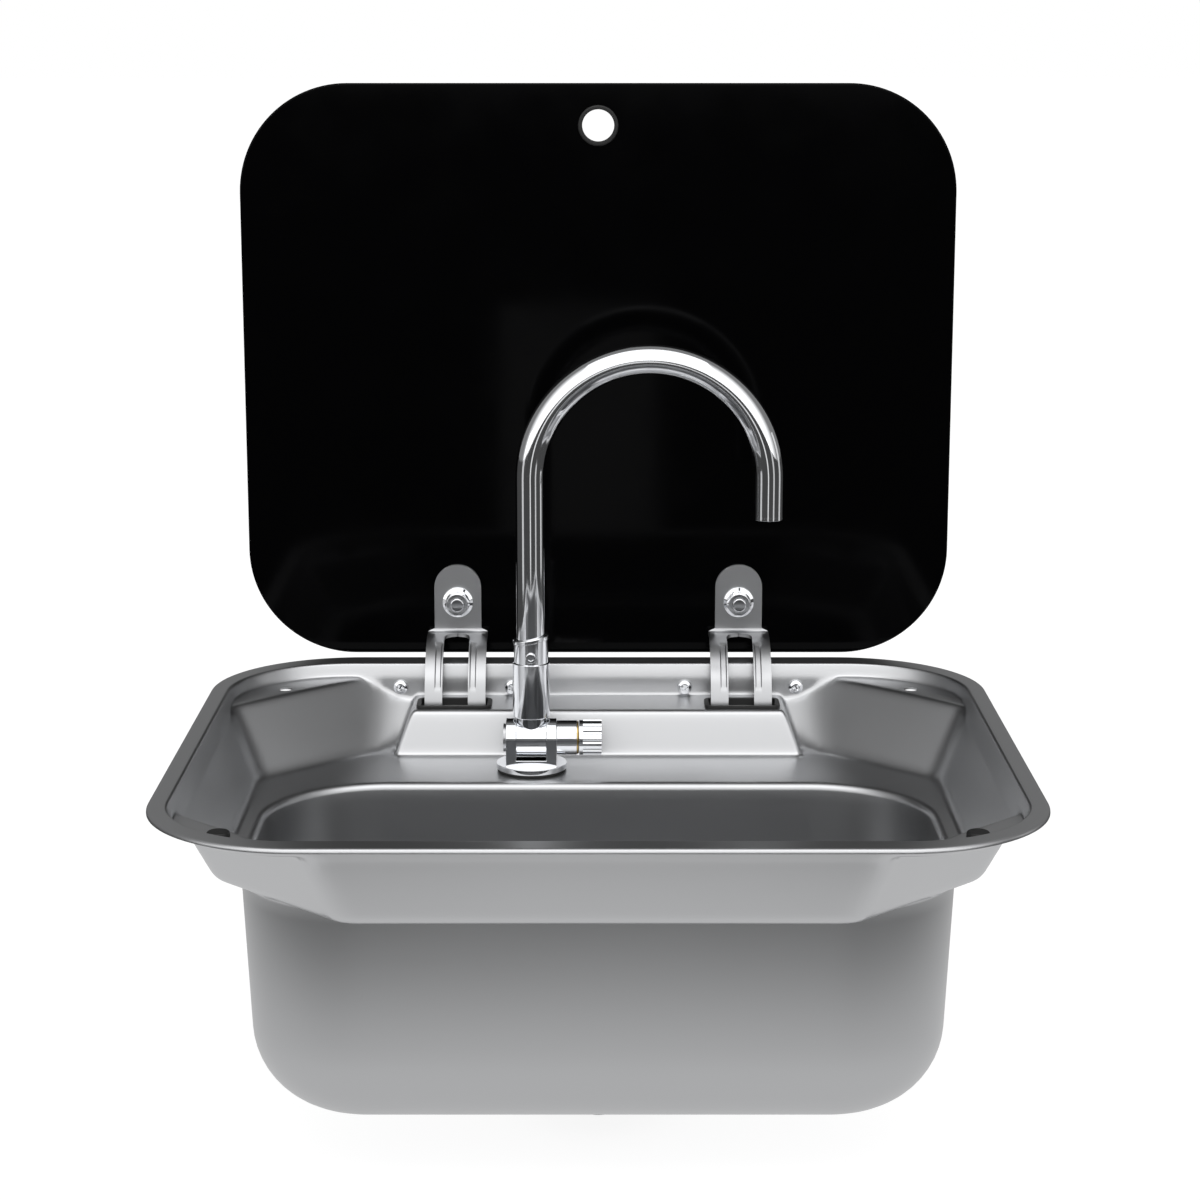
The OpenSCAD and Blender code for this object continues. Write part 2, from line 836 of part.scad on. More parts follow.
module slot_frames() {
    under_z = ledge_z - sheet_t;
    low_z = under_z - frame_lip_h;
    high_z = ledge_z + frame_lip_h;
    color(rubber)
        at_hinges()
            difference() {
                union() {
                    slot_prism(frame_wall + frame_lip, low_z, under_z);
                    slot_prism(frame_wall - 0.1, under_z, ledge_z);
                    slot_prism(frame_wall + frame_lip, ledge_z, high_z);
                }
                slot_prism(0, low_z - past, high_z + past);
            }
}

// The lid, drawn shut and then opened

module glass_lid() {
    top_z = lid_rest_z + lid_t;
    outline = [
        [0, lid_rest_z, 0],
        [lid_corner_r, lid_rest_z, lid_edge_r],
        [lid_corner_r, top_z, lid_edge_r],
        [0, top_z, 0]
    ];
    color(black_glass)
        opened()
            difference() {
                translate([0, lid_front_y + lid_d / 2, 0])
                    filled_round(lid_half_w, lid_d / 2, lid_corner_r, rounded(outline, 4));
                translate([0, finger_y, 0])
                    rod_z(lid_rest_z - past, top_z + past, finger_hole_r);
                at_hinges()
                    translate([0, bolt_y, 0])
                        rod_z(lid_rest_z - past, top_z + past, glass_hole_r);
            }
}

module finger_ring() {
    lip_r = finger_ring_d / 2;
    web_r = finger_hole_r - 0.1;
    top_z = lid_rest_z + lid_t;
    outline = [
        [finger_bore_d / 2, lid_rest_z - finger_lip_h, 0.4],
        [lip_r, lid_rest_z - finger_lip_h, 0.6],
        [lip_r, lid_rest_z, 0],
        [web_r, lid_rest_z, 0],
        [web_r, top_z, 0],
        [lip_r, top_z, 0],
        [lip_r, top_z + finger_lip_h, 0.6],
        [finger_bore_d / 2, top_z + finger_lip_h, 0.4]
    ];
    color(rubber)
        opened()
            translate([0, finger_y, 0])
                rotate_extrude()
                    polygon(rounded(outline, 4));
}

// Repeats a piece at both clamping bolts of the shut lid and opens it
module at_clamps() {
    opened()
        at_hinges()
            translate([0, bolt_y, 0])
                children();
}

module lid_bolts() {
    head_z = lid_rest_z + lid_t + outer_washer_t;
    end_z = lid_rest_z - pad_t - arm_t - clamp_nut_h - clamp_bolt_spare;
    outline = [
        [0, end_z, 0],
        [clamp_bolt_d / 2, end_z, 0.6],
        [clamp_bolt_d / 2, head_z, 0],
        [bolt_head_r, head_z, 0],
        [bolt_head_r, head_z + bolt_head_h, 1.5],
        [0, head_z + bolt_head_h, 0]
    ];
    color(chrome)
        at_clamps()
            rotate_extrude()
                polygon(rounded(outline, 4));
}

module lid_outer_washers() {
    top_z = lid_rest_z + lid_t;
    color(rubber)
        at_clamps()
            ring_z(top_z, top_z + outer_washer_t, bolt_head_r - 0.5, clamp_bolt_d / 2 + bush_gap);
}

module lid_bushes() {
    color(white_plastic)
        at_clamps()
            ring_z(lid_rest_z, lid_rest_z + lid_t, bush_r, clamp_bolt_d / 2 + bush_gap);
}

module lid_inner_pads() {
    low_z = lid_rest_z - pad_t;
    pad_half_w = tab_w / 2 - 0.5;
    color(rubber)
        at_clamps()
            difference() {
                union() {
                    rod_z(low_z, lid_rest_z, pad_half_w);
                    translate([-pad_half_w, 0, low_z])
                        cube([2 * pad_half_w, pad_half_w + 8, pad_t]);
                }
                rod_z(low_z - past, lid_rest_z + past, clamp_hole_r);
            }
}

module lid_nuts() {
    face_z = lid_rest_z - pad_t - arm_t;
    flange_low_z = face_z - clamp_nut_flange_h;
    color(chrome)
        at_clamps() {
            ring_z(flange_low_z, face_z, clamp_nut_flange_r, clamp_bolt_d / 2 + running_fit);
            hex_nut(face_z - clamp_nut_h, flange_low_z, clamp_nut_across, clamp_bolt_d / 2 + running_fit);
        }
}

// The hinges, drawn open

// Middle line of an arm from the tab's top to the eye
function arm_path() =
    let (
        bend_y = tab_y - arm_bend_r,
        start = acos((bend_y - ring_centre.x) / ring_mid_r),
        bend_z = ring_centre.y + ring_mid_r * sin(start) + arm_bend_r,
        hook_z = pivot_z - (eye_r - arm_t / 2),
        end_rise = hook_z + arm_bend_r - ring_centre.y,
        end = 180 - asin(end_rise / ring_mid_r),
        end_y = ring_centre.x + ring_mid_r * cos(end)
    )
    concat(
        [[tab_y, pivot_z + tab_reach]],
        arc([bend_y, bend_z], arm_bend_r, 0, -90, 4),
        arc(ring_centre, ring_mid_r, start, end, 20, 1),
        arc([end_y + arm_bend_r, hook_z + arm_bend_r], arm_bend_r, 180, 270, 4, 1),
        [[pivot_y, hook_z]]
    );

// Front view that an arm is cut to
module arm_blank() {
    top_z = pivot_z + tab_reach;
    fold_height = ring_centre.y + ring_r;
    shoulder = (arm_w - tab_w) / 2;
    low_z = pivot_z - window_below_eye * eye_r;
    rotate([90, 0, 0])
        linear_extrude(beyond, center = true) {
            translate([0, top_z - tab_w / 2])
                circle(tab_w / 2);
            translate([-tab_w / 2, fold_height])
                square([tab_w, tab_reach + pivot_z - fold_height - tab_w / 2]);
            polygon([
                [-arm_w / 2, low_z],
                [arm_w / 2, low_z],
                [arm_w / 2, fold_height - shoulder / 2],
                [tab_w / 2, fold_height + shoulder / 2],
                [-tab_w / 2, fold_height + shoulder / 2],
                [-arm_w / 2, fold_height - shoulder / 2]
            ]);
        }
}

// Gap between the two legs
module arm_window() {
    rear_y = ring_centre.x - window_rear_gap - window_w / 2;
    low_z = pivot_z - window_below_eye * eye_r;
    front_y = ring_centre.x - ring_r - past;
    translate([0, rear_y, 0])
        rod_z(0, flange_z + ring_r, window_w / 2);
    translate([-window_w / 2, front_y, low_z])
        cube([window_w, rear_y - front_y, ring_r + flange_z - low_z]);
    translate([-window_w / 2, front_y, low_z])
        cube([window_w, 2 * ring_r, flange_z - low_z]);
}

module hinge_arm() {
    rib = arc(ring_centre, ring_mid_r + rib_h, rib_from, rib_to, 12);
    difference() {
        union() {
            intersection() {
                along_x(strip(arm_path(), arm_t), arm_w);
                arm_blank();
            }
            for (side = [-1, 1])
                translate([side * (window_w / 2 + rib_w / 2), 0, 0])
                    along_x(strip(rib, arm_t), rib_w);
            translate([0, pivot_y, pivot_z])
                rod_x(-arm_w / 2, arm_w / 2, eye_r);
        }
        arm_window();
        translate([0, pivot_y, pivot_z])
            rod_x(-arm_w, arm_w, pin_bore_r);
        translate([0, 0, pivot_z + bolt_reach])
            rod_y(tab_y - arm_t, tab_y + arm_t, clamp_hole_r);
    }
}

module hinge_arm_left() {
    color(steel)
        translate([-hinge_x, 0, 0])
            hinge_arm();
}

module hinge_arm_right() {
    color(steel)
        translate([hinge_x, 0, 0])
            hinge_arm();
}

module hinge_box() {
    cheek_end_y = pivot_y + cheek_r;
    difference() {
        union() {
            translate([-box_half_w, rear_wall_back_y, box_low_z])
                cube([2 * box_half_w, box_t, box_top_z - box_low_z]);
            for (side = [-1, 1])
                translate([side * (cheek_x + box_t / 2) - box_t / 2, 0, 0]) {
                    translate([0, rear_wall_back_y, pivot_z])
                        cube([box_t, cheek_end_y - rear_wall_back_y, box_top_z - pivot_z]);
                    translate([0, pivot_y, pivot_z])
                        rod_x(0, box_t, cheek_r);
                }
        }
        translate([0, pivot_y, pivot_z])
            rod_x(-box_half_w, box_half_w, pin_bore_r);
        for (side = [-1, 1])
            translate([side * ear_x, 0, screw_z])
                rod_y(rear_wall_back_y - past, rear_wall_back_y + box_t + past, box_screw_d / 2 + 0.1);
    }
}

module hinge_box_left() {
    color(steel)
        translate([-hinge_x, 0, 0])
            hinge_box();
}

module hinge_box_right() {
    color(steel)
        translate([hinge_x, 0, 0])
            hinge_box();
}

module hinge_pins() {
    head_x = cheek_x + box_t;
    color(chrome)
        at_hinges()
            translate([0, pivot_y, pivot_z])
                difference() {
                    union() {
                        rod_x(-head_x, pin_end_x, pin_d / 2);
                        rod_x(-head_x - pin_head_h, -head_x, pin_head_r);
                    }
                    difference() {
                        rod_x(clip_x, clip_x + clip_t, pin_d);
                        rod_x(clip_x - past, clip_x + clip_t + past, pin_d / 2 - clip_groove);
                    }
                }
}

module hinge_pin_clips() {
    color(steel)
        at_hinges()
            translate([0, pivot_y, pivot_z])
                difference() {
                    rod_x(clip_x, clip_x + clip_t, pin_head_r + clip_rim);
                    rod_x(clip_x - past, clip_x + clip_t + past, pin_d / 2 - clip_groove);
                    translate([clip_x - past, -pin_d / 4, -2 * pin_head_r])
                        cube([clip_t + 2 * past, pin_d / 2, 2 * pin_head_r]);
                }
}

module hinge_spacers() {
    end_gap = 0.2;
    half_l = window_w / 2 - end_gap;
    color(white_plastic)
        at_hinges()
            translate([0, pivot_y, pivot_z])
                difference() {
                    rod_x(-half_l, half_l, eye_r - end_gap);
                    rod_x(-half_l - past, half_l + past, pin_bore_r);
                }
}

module hinge_screws() {
    spare_l = 0.8;
    end_y = rear_wall_back_y + box_t + box_nut_h + spare_l;
    slot_w = box_screw_d * 0.22;
    slot_l = box_screw_head_r * 1.1;
    slot_depth = 1.2;
    outline = [
        [0, 0, 0],
        [box_screw_head_r, 0, 0],
        [box_screw_head_r, box_screw_head_h, 1.7],
        [0, box_screw_head_h, 0]
    ];
    color(steel)
        at_box_screws() {
            rod_y(rear_wall_y, end_y, box_screw_d / 2);
            difference() {
                translate([0, rear_wall_y, 0])
                    rotate([90, 0, 0])
                        rotate_extrude()
                            polygon(rounded(outline, 4));
                for (turn = [45, -45])
                    translate([0, rear_wall_y - box_screw_head_h, 0])
                        rotate([0, turn, 0])
                            cube([slot_l, 2 * slot_depth, slot_w], center = true);
            }
        }
}

module hinge_screw_nuts() {
    front_y = rear_wall_back_y + box_t;
    color(steel)
        at_box_screws()
            translate([0, front_y, 0])
                rotate([-90, 0, 0])
                    hex_nut(0, box_nut_h, box_nut_across, box_screw_d / 2 + running_fit);
}

// The tap, drawn upright

module at_tap() {
    translate([tap_x, tap_y, 0])
        children();
}

// Places a piece on the fold axis
module at_fold() {
    translate([tap_x, tap_y, fold_z])
        children();
}

module tap_base() {
    block_top_z = fold_z - knuckle_r - side_gap;
    bore_end_z = block_top_z - 2;
    color(chrome)
        difference() {
            union() {
                at_tap() {
                    rod_z(foot_z, foot_z + foot_h, foot_r);
                    rod_z(shelf_z - shank_l, foot_z, shank_d / 2);
                    translate([-cheek_out_x, -cheek_side_r, foot_z])
                        cube([2 * cheek_out_x, 2 * cheek_side_r, block_top_z - foot_z]);
                    for (side = [-1, 1])
                        translate([side * (cheek_in_x + cheek_w / 2) - cheek_w / 2, -cheek_side_r, foot_z])
                            cube([cheek_w, 2 * cheek_side_r, fold_z - foot_z]);
                }
                at_fold() {
                    rod_x(-cheek_out_x, -cheek_in_x, cheek_side_r);
                    rod_x(cheek_in_x, cheek_out_x, cheek_side_r);
                    rod_x(cheek_out_x, housing_end_x, housing_r);
                }
            }
            at_fold() {
                rod_x(-cheek_out_x - past, cheek_out_x + 2 * past, fold_pin_r + running_fit);
                rod_x(cartridge_seat_x, housing_end_x + past, cartridge_r + running_fit);
            }
            at_tap()
                rod_z(shelf_z - shank_l - past, bore_end_z, water_bore_r);
        }
}

module tap_gasket() {
    color(rubber)
        at_tap()
            ring_z(shelf_z, foot_z, foot_r - 0.5, shank_d / 2 + washer_gap);
}

module tap_backing_washer() {
    under_z = shelf_z - sheet_t;
    color(steel)
        at_tap()
            ring_z(under_z - backing_t, under_z, foot_r - 1, shank_d / 2 + washer_gap);
}

module tap_nut() {
    top_z = shelf_z - sheet_t - backing_t;
    color(steel)
        at_tap()
            hex_nut(top_z - tap_nut_h, top_z, tap_nut_across, shank_d / 2 + running_fit);
}

// Barbed tail for the water hose, screwed into the shank
module tap_inlet_tail() {
    face_z = shelf_z - shank_l;
    tail_r = water_bore_r;
    thread_l = 10;
    shoulder_l = 4;
    shoulder_r = shank_d / 2 - 1;
    tip_depth = 0.9;
    crest_depth = 0.1;
    root_depth = 0.7;
    barbs = 3;
    barb_l = 4;
    outline = concat(
        [
            [inlet_bore_r, face_z + thread_l],
            [inlet_bore_r, face_z - inlet_l],
            [tail_r - tip_depth, face_z - inlet_l]
        ],
        [
            for (i = [0 : barbs - 1], end = [0, 1])
                end == 0
                    ? [tail_r - crest_depth, face_z - inlet_l + barb_l * (i + 0.6)]
                    : [tail_r - root_depth, face_z - inlet_l + barb_l * (i + 1)]
        ],
        [
            [tail_r, face_z - inlet_l + barbs * barb_l],
            [tail_r, face_z - shoulder_l],
            [shoulder_r, face_z - shoulder_l],
            [shoulder_r, face_z],
            [tail_r - running_fit, face_z],
            [tail_r - running_fit, face_z + thread_l]
        ]
    );
    color("goldenrod")
        at_tap()
            rotate_extrude()
                polygon(outline);
}

module fold_pin() {
    color(steel)
        at_fold()
            difference() {
                union() {
                    rod_x(-cheek_out_x, cheek_out_x, fold_pin_r);
                    rod_x(-cheek_out_x - fold_pin_head_h, -cheek_out_x, fold_pin_r + fold_pin_head_lip);
                }
                rod_x(-cheek_in_x, cheek_out_x + past, fold_pin_r - fold_pin_wall);
                rod_z(-2 * fold_pin_r, 2 * fold_pin_r, fold_pin_r - fold_pin_wall);
            }
}

// Rubber rings in the knuckle's two faces
module fold_seals() {
    seal_r = fold_pin_r + fold_seal_t;
    color(rubber)
        at_fold()
            for (side = [-1, 1])
                translate([side * (knuckle_w - fold_seal_w) / 2 - fold_seal_w / 2, 0, 0])
                    difference() {
                        rod_x(0, fold_seal_w, seal_r);
                        rod_x(-past, fold_seal_w + past, fold_pin_r + running_fit);
                    }
}

module fold_knuckle() {
    color(chrome)
        difference() {
            union() {
                at_fold()
                    rod_x(-knuckle_w / 2, knuckle_w / 2, knuckle_r);
                at_tap()
                    rod_z(fold_z, neck_top_z, tube_r);
            }
            at_fold() {
                rod_x(-knuckle_w, knuckle_w, fold_pin_r + running_fit);
                rod_x(-knuckle_w, fold_seal_w - knuckle_w / 2, fold_pin_r + fold_seal_t + knuckle_gap);
                rod_x(knuckle_w / 2 - fold_seal_w, knuckle_w, fold_pin_r + fold_seal_t + knuckle_gap);
            }
            at_tap()
                rod_z(fold_z, neck_top_z + past, water_bore_r);
        }
}

// A block that keeps what lies below the slanted face of the collar
module below_slant(z) {
    translate([0, 0, z])
        rotate([0, -collar_slant, 0])
            translate([-beyond / 2, -beyond / 2, -beyond])
                cube(beyond);
}

module tap_sleeve() {
    color(chrome)
        at_tap()
            difference() {
                union() {
                    rod_z(sleeve_low_z, sleeve_step_z, sleeve_d / 2);
                    intersection() {
                        rod_z(sleeve_step_z, sleeve_top_z + sleeve_d, sleeve_upper_r);
                        below_slant(sleeve_top_z);
                    }
                }
                rod_z(sleeve_low_z - past, sleeve_top_z + sleeve_d + past, tube_r + running_fit);
                translate([0, 0, sleeve_screw_z])
                    rod_y(-sleeve_d, 0, sleeve_screw_r / 2 + running_fit);
            }
}

module tap_collar() {
    color(chrome)
        at_tap()
            difference() {
                intersection() {
                    rod_z(sleeve_step_z, sleeve_top_z + sleeve_d, sleeve_upper_r + collar_lip);
                    below_slant(sleeve_top_z + collar_h);
                }
                below_slant(sleeve_top_z);
                rod_z(sleeve_step_z - past, sleeve_top_z + sleeve_d + past, tube_r + running_fit);
            }
}

module sleeve_screw() {
    under_head_y = -sleeve_upper_r - 0.2;
    top_y = under_head_y - sleeve_screw_head_h;
    socket_depth = 0.7;
    color(chrome)
        at_tap()
            translate([0, 0, sleeve_screw_z]) {
                rod_y(under_head_y, -tube_r - sleeve_screw_tip_gap, sleeve_screw_r / 2);
                difference() {
                    rod_y(top_y, under_head_y, sleeve_screw_r);
                    translate([0, top_y, 0])
                        rotate([90, 0, 0])
                            cylinder(h = 2 * socket_depth, d = sleeve_screw_r * 1.1, center = true, $fn = 6);
                }
            }
}

module spout_seal() {
    color(rubber)
        at_tap()
            ring_z(neck_top_z, tube_low_z, tube_r, tube_r - tube_wall - seal_lip);
}

// Solid gooseneck of radius r
module gooseneck(r, low, outlet) {
    rod_z(low, bend_z, r);
    translate([spout_bend_r, 0, bend_z])
        rotate([90, 0, 0])
            rotate_extrude(angle = 180)
                translate([spout_bend_r, 0])
                    circle(r);
    translate([2 * spout_bend_r, 0, 0])
        rod_z(outlet, bend_z, r);
}

module spout_tube() {
    color(chrome)
        at_tap()
            difference() {
                gooseneck(tube_r, tube_low_z, outlet_z + aerator_lip_h);
                gooseneck(tube_r - tube_wall, tube_low_z - past, outlet_z);
            }
}

// Outlet insert with a ring of small holes
module spout_aerator() {
    insert_r = tube_r - tube_wall - running_fit;
    hole_ring_r = insert_r - 2;
    color(steel)
        at_tap()
            translate([2 * spout_bend_r, 0, outlet_z])
                difference() {
                    union() {
                        rod_z(0, aerator_lip_h, tube_r);
                        rod_z(aerator_lip_h, aerator_l, insert_r);
                    }
                    for (i = [0 : aerator_holes - 1])
                        rotate(360 / aerator_holes * i)
                            translate([hole_ring_r, 0, 0])
                                rod_z(-past, aerator_l + past, aerator_hole_r);
                    rod_z(-past, aerator_l + past, aerator_middle_r);
                }
}

module valve_cartridge() {
    color("goldenrod")
        at_fold()
            difference() {
                union() {
                    rod_x(cartridge_start_x, housing_end_x, cartridge_r);
                    rod_x(housing_end_x, housing_end_x + cartridge_flange_t, housing_r - 0.5);
                    rod_x(housing_end_x, knob_end_x - spindle_depth, spindle_r);
                }
                rod_x(cartridge_start_x - past, cartridge_cup_end_x, cartridge_r - cartridge_cup_wall);
            }
}

module control_knob() {
    knob_r = knob_d / 2;
    flute_r = 1.5;
    flute_offset = 0.6;
    collar_l = 2;
    bore_end_x = knob_end_x - spindle_depth + spindle_end_gap;
    color(chrome)
        at_fold()
            difference() {
                rod_x(knob_start_x, knob_end_x, knob_r);
                for (i = [0 : knob_flutes - 1])
                    rotate([360 / knob_flutes * i, 0, 0])
                        translate([0, knob_r + flute_offset, 0])
                            rod_x(knob_start_x + collar_l, knob_end_x + past, flute_r);
                rod_x(knob_start_x - past, bore_end_x, spindle_r + running_fit);
                rod_x(knob_end_x - knob_cap_t, knob_end_x + past, knob_r - knob_wall);
            }
}

module knob_cap() {
    cap_r = knob_d / 2 - knob_wall - running_fit;
    cap_sunk = 0.4;
    color([0.1, 0.25, 0.6])
        at_fold()
            rod_x(knob_end_x - knob_cap_t, knob_end_x - cap_sunk, cap_r);
}

// The drain, on the middle of the bowl's floor

module at_drain() {
    translate([0, bowl_mid_y, 0])
        children();
}

module drain_flange() {
    hub_r = drain_screw_d / 2 + 3;
    spoke_w = 4;
    floor_w = 5;
    spoke_turns = [0, 60, 120];
    color(steel)
        at_drain()
            difference() {
                union() {
                    ring_z(drain_rim_z, drain_disc_top_z, drain_flange_r, cup_r - cup_wall);
                    ring_z(cup_low_z, drain_rim_z, cup_r, cup_r - cup_wall);
                    ring_z(cup_low_z, cup_low_z + cup_wall, cup_r, cup_r - floor_w);
                    rod_z(cup_low_z, cup_low_z + screw_seat_t, hub_r);
                    for (turn = spoke_turns)
                        rotate(turn)
                            translate([-cup_r + cup_wall / 2, -spoke_w / 2, cup_low_z])
                                cube([2 * cup_r - cup_wall, spoke_w, cup_wall]);
                }
                rod_z(cup_low_z - past, cup_low_z + screw_seat_t + past, drain_screw_d / 2 + washer_gap);
            }
}

module drain_upper_gasket() {
    color(rubber)
        at_drain()
            ring_z(seat_z, drain_rim_z, drain_flange_r - 1, cup_r + gasket_gap);
}

module drain_lower_gasket() {
    color(rubber)
        at_drain()
            ring_z(body_top_z, under_seat_z, body_flange_r - 1, cup_r + gasket_gap);
}

// Cup under the floor, with a sump that the outlet leaves to the back
module drain_body() {
    hose_stop_y = body_flange_r + 1;
    tail_end_y = body_flange_r + tail_l;
    color(grey_plastic)
        at_drain()
            difference() {
                union() {
                    rod_z(body_top_z - body_flange_h, body_top_z, body_flange_r);
                    rod_z(body_low_z, body_top_z, body_r);
                    rod_z(sump_low_z, body_low_z, sump_r);
                    translate([0, 0, tail_z])
                        rod_y(post_r, hose_stop_y, tail_d / 2 - hose_relief);
                    translate([0, 0, tail_z])
                        rod_y(hose_stop_y, hose_stop_y + hose_stop_l, tail_d / 2 + hose_stop_h);
                    translate([0, 0, tail_z])
                        rod_y(hose_stop_y + hose_stop_l, tail_end_y, tail_d / 2);
                }
                rod_z(body_low_z + body_wall, body_top_z + past, body_r - body_wall);
                difference() {
                    rod_z(sump_low_z + body_wall, body_top_z, sump_r - body_wall);
                    rod_z(sump_low_z, cup_low_z, post_r);
                }
                translate([0, 0, tail_z])
                    rod_y(sump_r - 2 * body_wall, tail_end_y + past, tail_d / 2 - body_wall);
                rod_z(sump_low_z + body_wall, cup_low_z + past, drain_screw_d / 2 + running_fit);
            }
}

module drain_screw() {
    head_z = cup_low_z + screw_seat_t;
    low_z = sump_low_z + body_wall + 0.5;
    slot_w = 1.2;
    slot_z = head_z + drain_screw_head_h / 2;
    color(steel)
        at_drain()
            difference() {
                union() {
                    rod_z(low_z, head_z, drain_screw_d / 2);
                    rod_z(head_z, head_z + drain_screw_head_h, drain_screw_d / 2 + drain_screw_head_lip);
                }
                translate([-drain_screw_d, -slot_w / 2, slot_z])
                    cube([2 * drain_screw_d, slot_w, drain_screw_head_h]);
            }
}

module plug_body() {
    top_r = plug_top_d / 2 + plug_overhang;
    land_r = plug_stem_r + plug_lip;
    outline = [
        [0, plug_groove_z - plug_foot_h, 0],
        [land_r, plug_groove_z - plug_foot_h, 0],
        [land_r, plug_groove_z, 0],
        [plug_stem_r, plug_groove_z, 0],
        [plug_stem_r, plug_groove_z + plug_seal_t, 0],
        [land_r, plug_groove_z + plug_seal_t, 0],
        [land_r, plug_under_z, 0],
        [top_r, plug_under_z, 0],
        [top_r, plug_edge_z, 1.5],
        [0, plug_top_z, 0]
    ];
    color(steel)
        at_drain()
            rotate_extrude()
                polygon(rounded(outline, 4));
}

module plug_seal() {
    outer_r = cup_r - cup_wall - plug_seal_gap;
    color(rubber)
        at_drain()
            ring_z(plug_groove_z, plug_groove_z + plug_seal_t, outer_r, plug_stem_r + running_fit);
}

module plug_knob() {
    foot_r = 4;
    waist_r = 3;
    waist_z = plug_top_z + 4;
    grip_r = 6.5;
    grip_z = waist_z + 3;
    grip_top_z = grip_z + 3;
    outline = [
        [0, plug_top_z, 0],
        [foot_r, plug_top_z, 0],
        [waist_r, waist_z, 0.8],
        [grip_r, grip_z, 1.5],
        [grip_r, grip_top_z, 1.5],
        [0, grip_top_z + 1, 0]
    ];
    color(chrome)
        at_drain()
            rotate_extrude()
                polygon(rounded(outline, 4));
}

sink_basin();
rim_seal();
lid_bumpers();
slot_frames();
glass_lid();
finger_ring();
lid_bolts();
lid_outer_washers();
lid_bushes();
lid_inner_pads();
lid_nuts();
hinge_arm_left();
hinge_arm_right();
hinge_box_left();
hinge_box_right();
hinge_pins();
hinge_pin_clips();
hinge_spacers();
hinge_screws();
hinge_screw_nuts();
tap_base();
tap_gasket();
tap_backing_washer();
tap_nut();
tap_inlet_tail();
fold_pin();
fold_seals();
fold_knuckle();
tap_sleeve();
tap_collar();
sleeve_screw();
spout_seal();
spout_tube();
spout_aerator();
valve_cartridge();
control_knob();
knob_cap();
drain_flange();
drain_upper_gasket();
drain_lower_gasket();
drain_body();
drain_screw();
plug_body();
plug_seal();
plug_knob();
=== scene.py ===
# Camper sink with a black glass lid and a folding tap. Each piece of the pressed basin, the lid, the hinges,
# the tap and the drain is shaped here round the measured frame and given its finish.

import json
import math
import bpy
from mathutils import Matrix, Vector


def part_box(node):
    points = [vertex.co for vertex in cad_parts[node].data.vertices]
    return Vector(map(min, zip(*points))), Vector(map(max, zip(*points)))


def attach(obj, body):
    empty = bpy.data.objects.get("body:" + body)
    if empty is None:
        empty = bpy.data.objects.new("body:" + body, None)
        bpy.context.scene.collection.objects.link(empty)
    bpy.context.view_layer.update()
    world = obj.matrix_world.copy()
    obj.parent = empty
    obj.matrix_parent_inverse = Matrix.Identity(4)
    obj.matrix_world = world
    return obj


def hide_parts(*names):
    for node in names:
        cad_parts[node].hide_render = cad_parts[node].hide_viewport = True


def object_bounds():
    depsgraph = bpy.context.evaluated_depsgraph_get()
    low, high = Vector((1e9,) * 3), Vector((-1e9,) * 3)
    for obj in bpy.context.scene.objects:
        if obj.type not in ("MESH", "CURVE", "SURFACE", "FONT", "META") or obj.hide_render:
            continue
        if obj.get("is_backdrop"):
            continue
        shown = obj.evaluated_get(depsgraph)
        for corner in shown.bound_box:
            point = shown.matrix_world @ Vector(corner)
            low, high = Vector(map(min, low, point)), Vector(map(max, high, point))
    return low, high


bl_info = {
    "name": "Camper Sink",
    "version": (1, 0, 0),
    "blender": (4, 5, 0),
    "location": "View3D > Sidebar > Camper Sink",
    "description": "Shapes and finishes a camper sink with a glass lid and a folding tap",
    "category": "Add Mesh",
}

import bpy
import numpy as np
from bpy.props import FloatProperty, FloatVectorProperty, PointerProperty
from mathutils import Matrix, Vector

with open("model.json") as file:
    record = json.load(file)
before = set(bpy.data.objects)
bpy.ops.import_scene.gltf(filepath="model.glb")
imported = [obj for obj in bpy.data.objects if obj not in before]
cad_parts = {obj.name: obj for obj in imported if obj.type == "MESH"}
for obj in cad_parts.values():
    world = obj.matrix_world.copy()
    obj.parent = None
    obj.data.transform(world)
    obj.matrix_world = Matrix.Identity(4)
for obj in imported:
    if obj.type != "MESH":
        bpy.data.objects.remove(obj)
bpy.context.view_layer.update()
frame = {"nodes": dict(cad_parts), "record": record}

MM = 0.001


def low(node):
    """Lowest corner of a piece of the frame"""
    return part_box(node)[0]


def high(node):
    """Highest corner of a piece of the frame"""
    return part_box(node)[1]


def middle_of(node):
    """Middle of a piece of the frame"""
    return (low(node) + high(node)) / 2


def length(name, description, default):
    """A size that a user can change"""
    return FloatProperty(
        name=name, description=description, default=default, min=0, unit="LENGTH", precision=4
    )


def lean_angle(name, description, degrees):
    """An angle that a user can change"""
    return FloatProperty(
        name=name, description=description, default=math.radians(degrees), min=0, subtype="ANGLE"
    )


def tint(name, description, default):
    """A colour that a user can change"""
    return FloatVectorProperty(
        name=name, description=description, default=default, size=3, min=0, max=1, subtype="COLOR"
    )


RIM_TOP = high("sink_basin").z
PIVOT = Vector(frame["record"]["behaviour"]["joints"][0]["pos_m"])
TAP = Vector(frame["record"]["behaviour"]["joints"][1]["pos_m"])


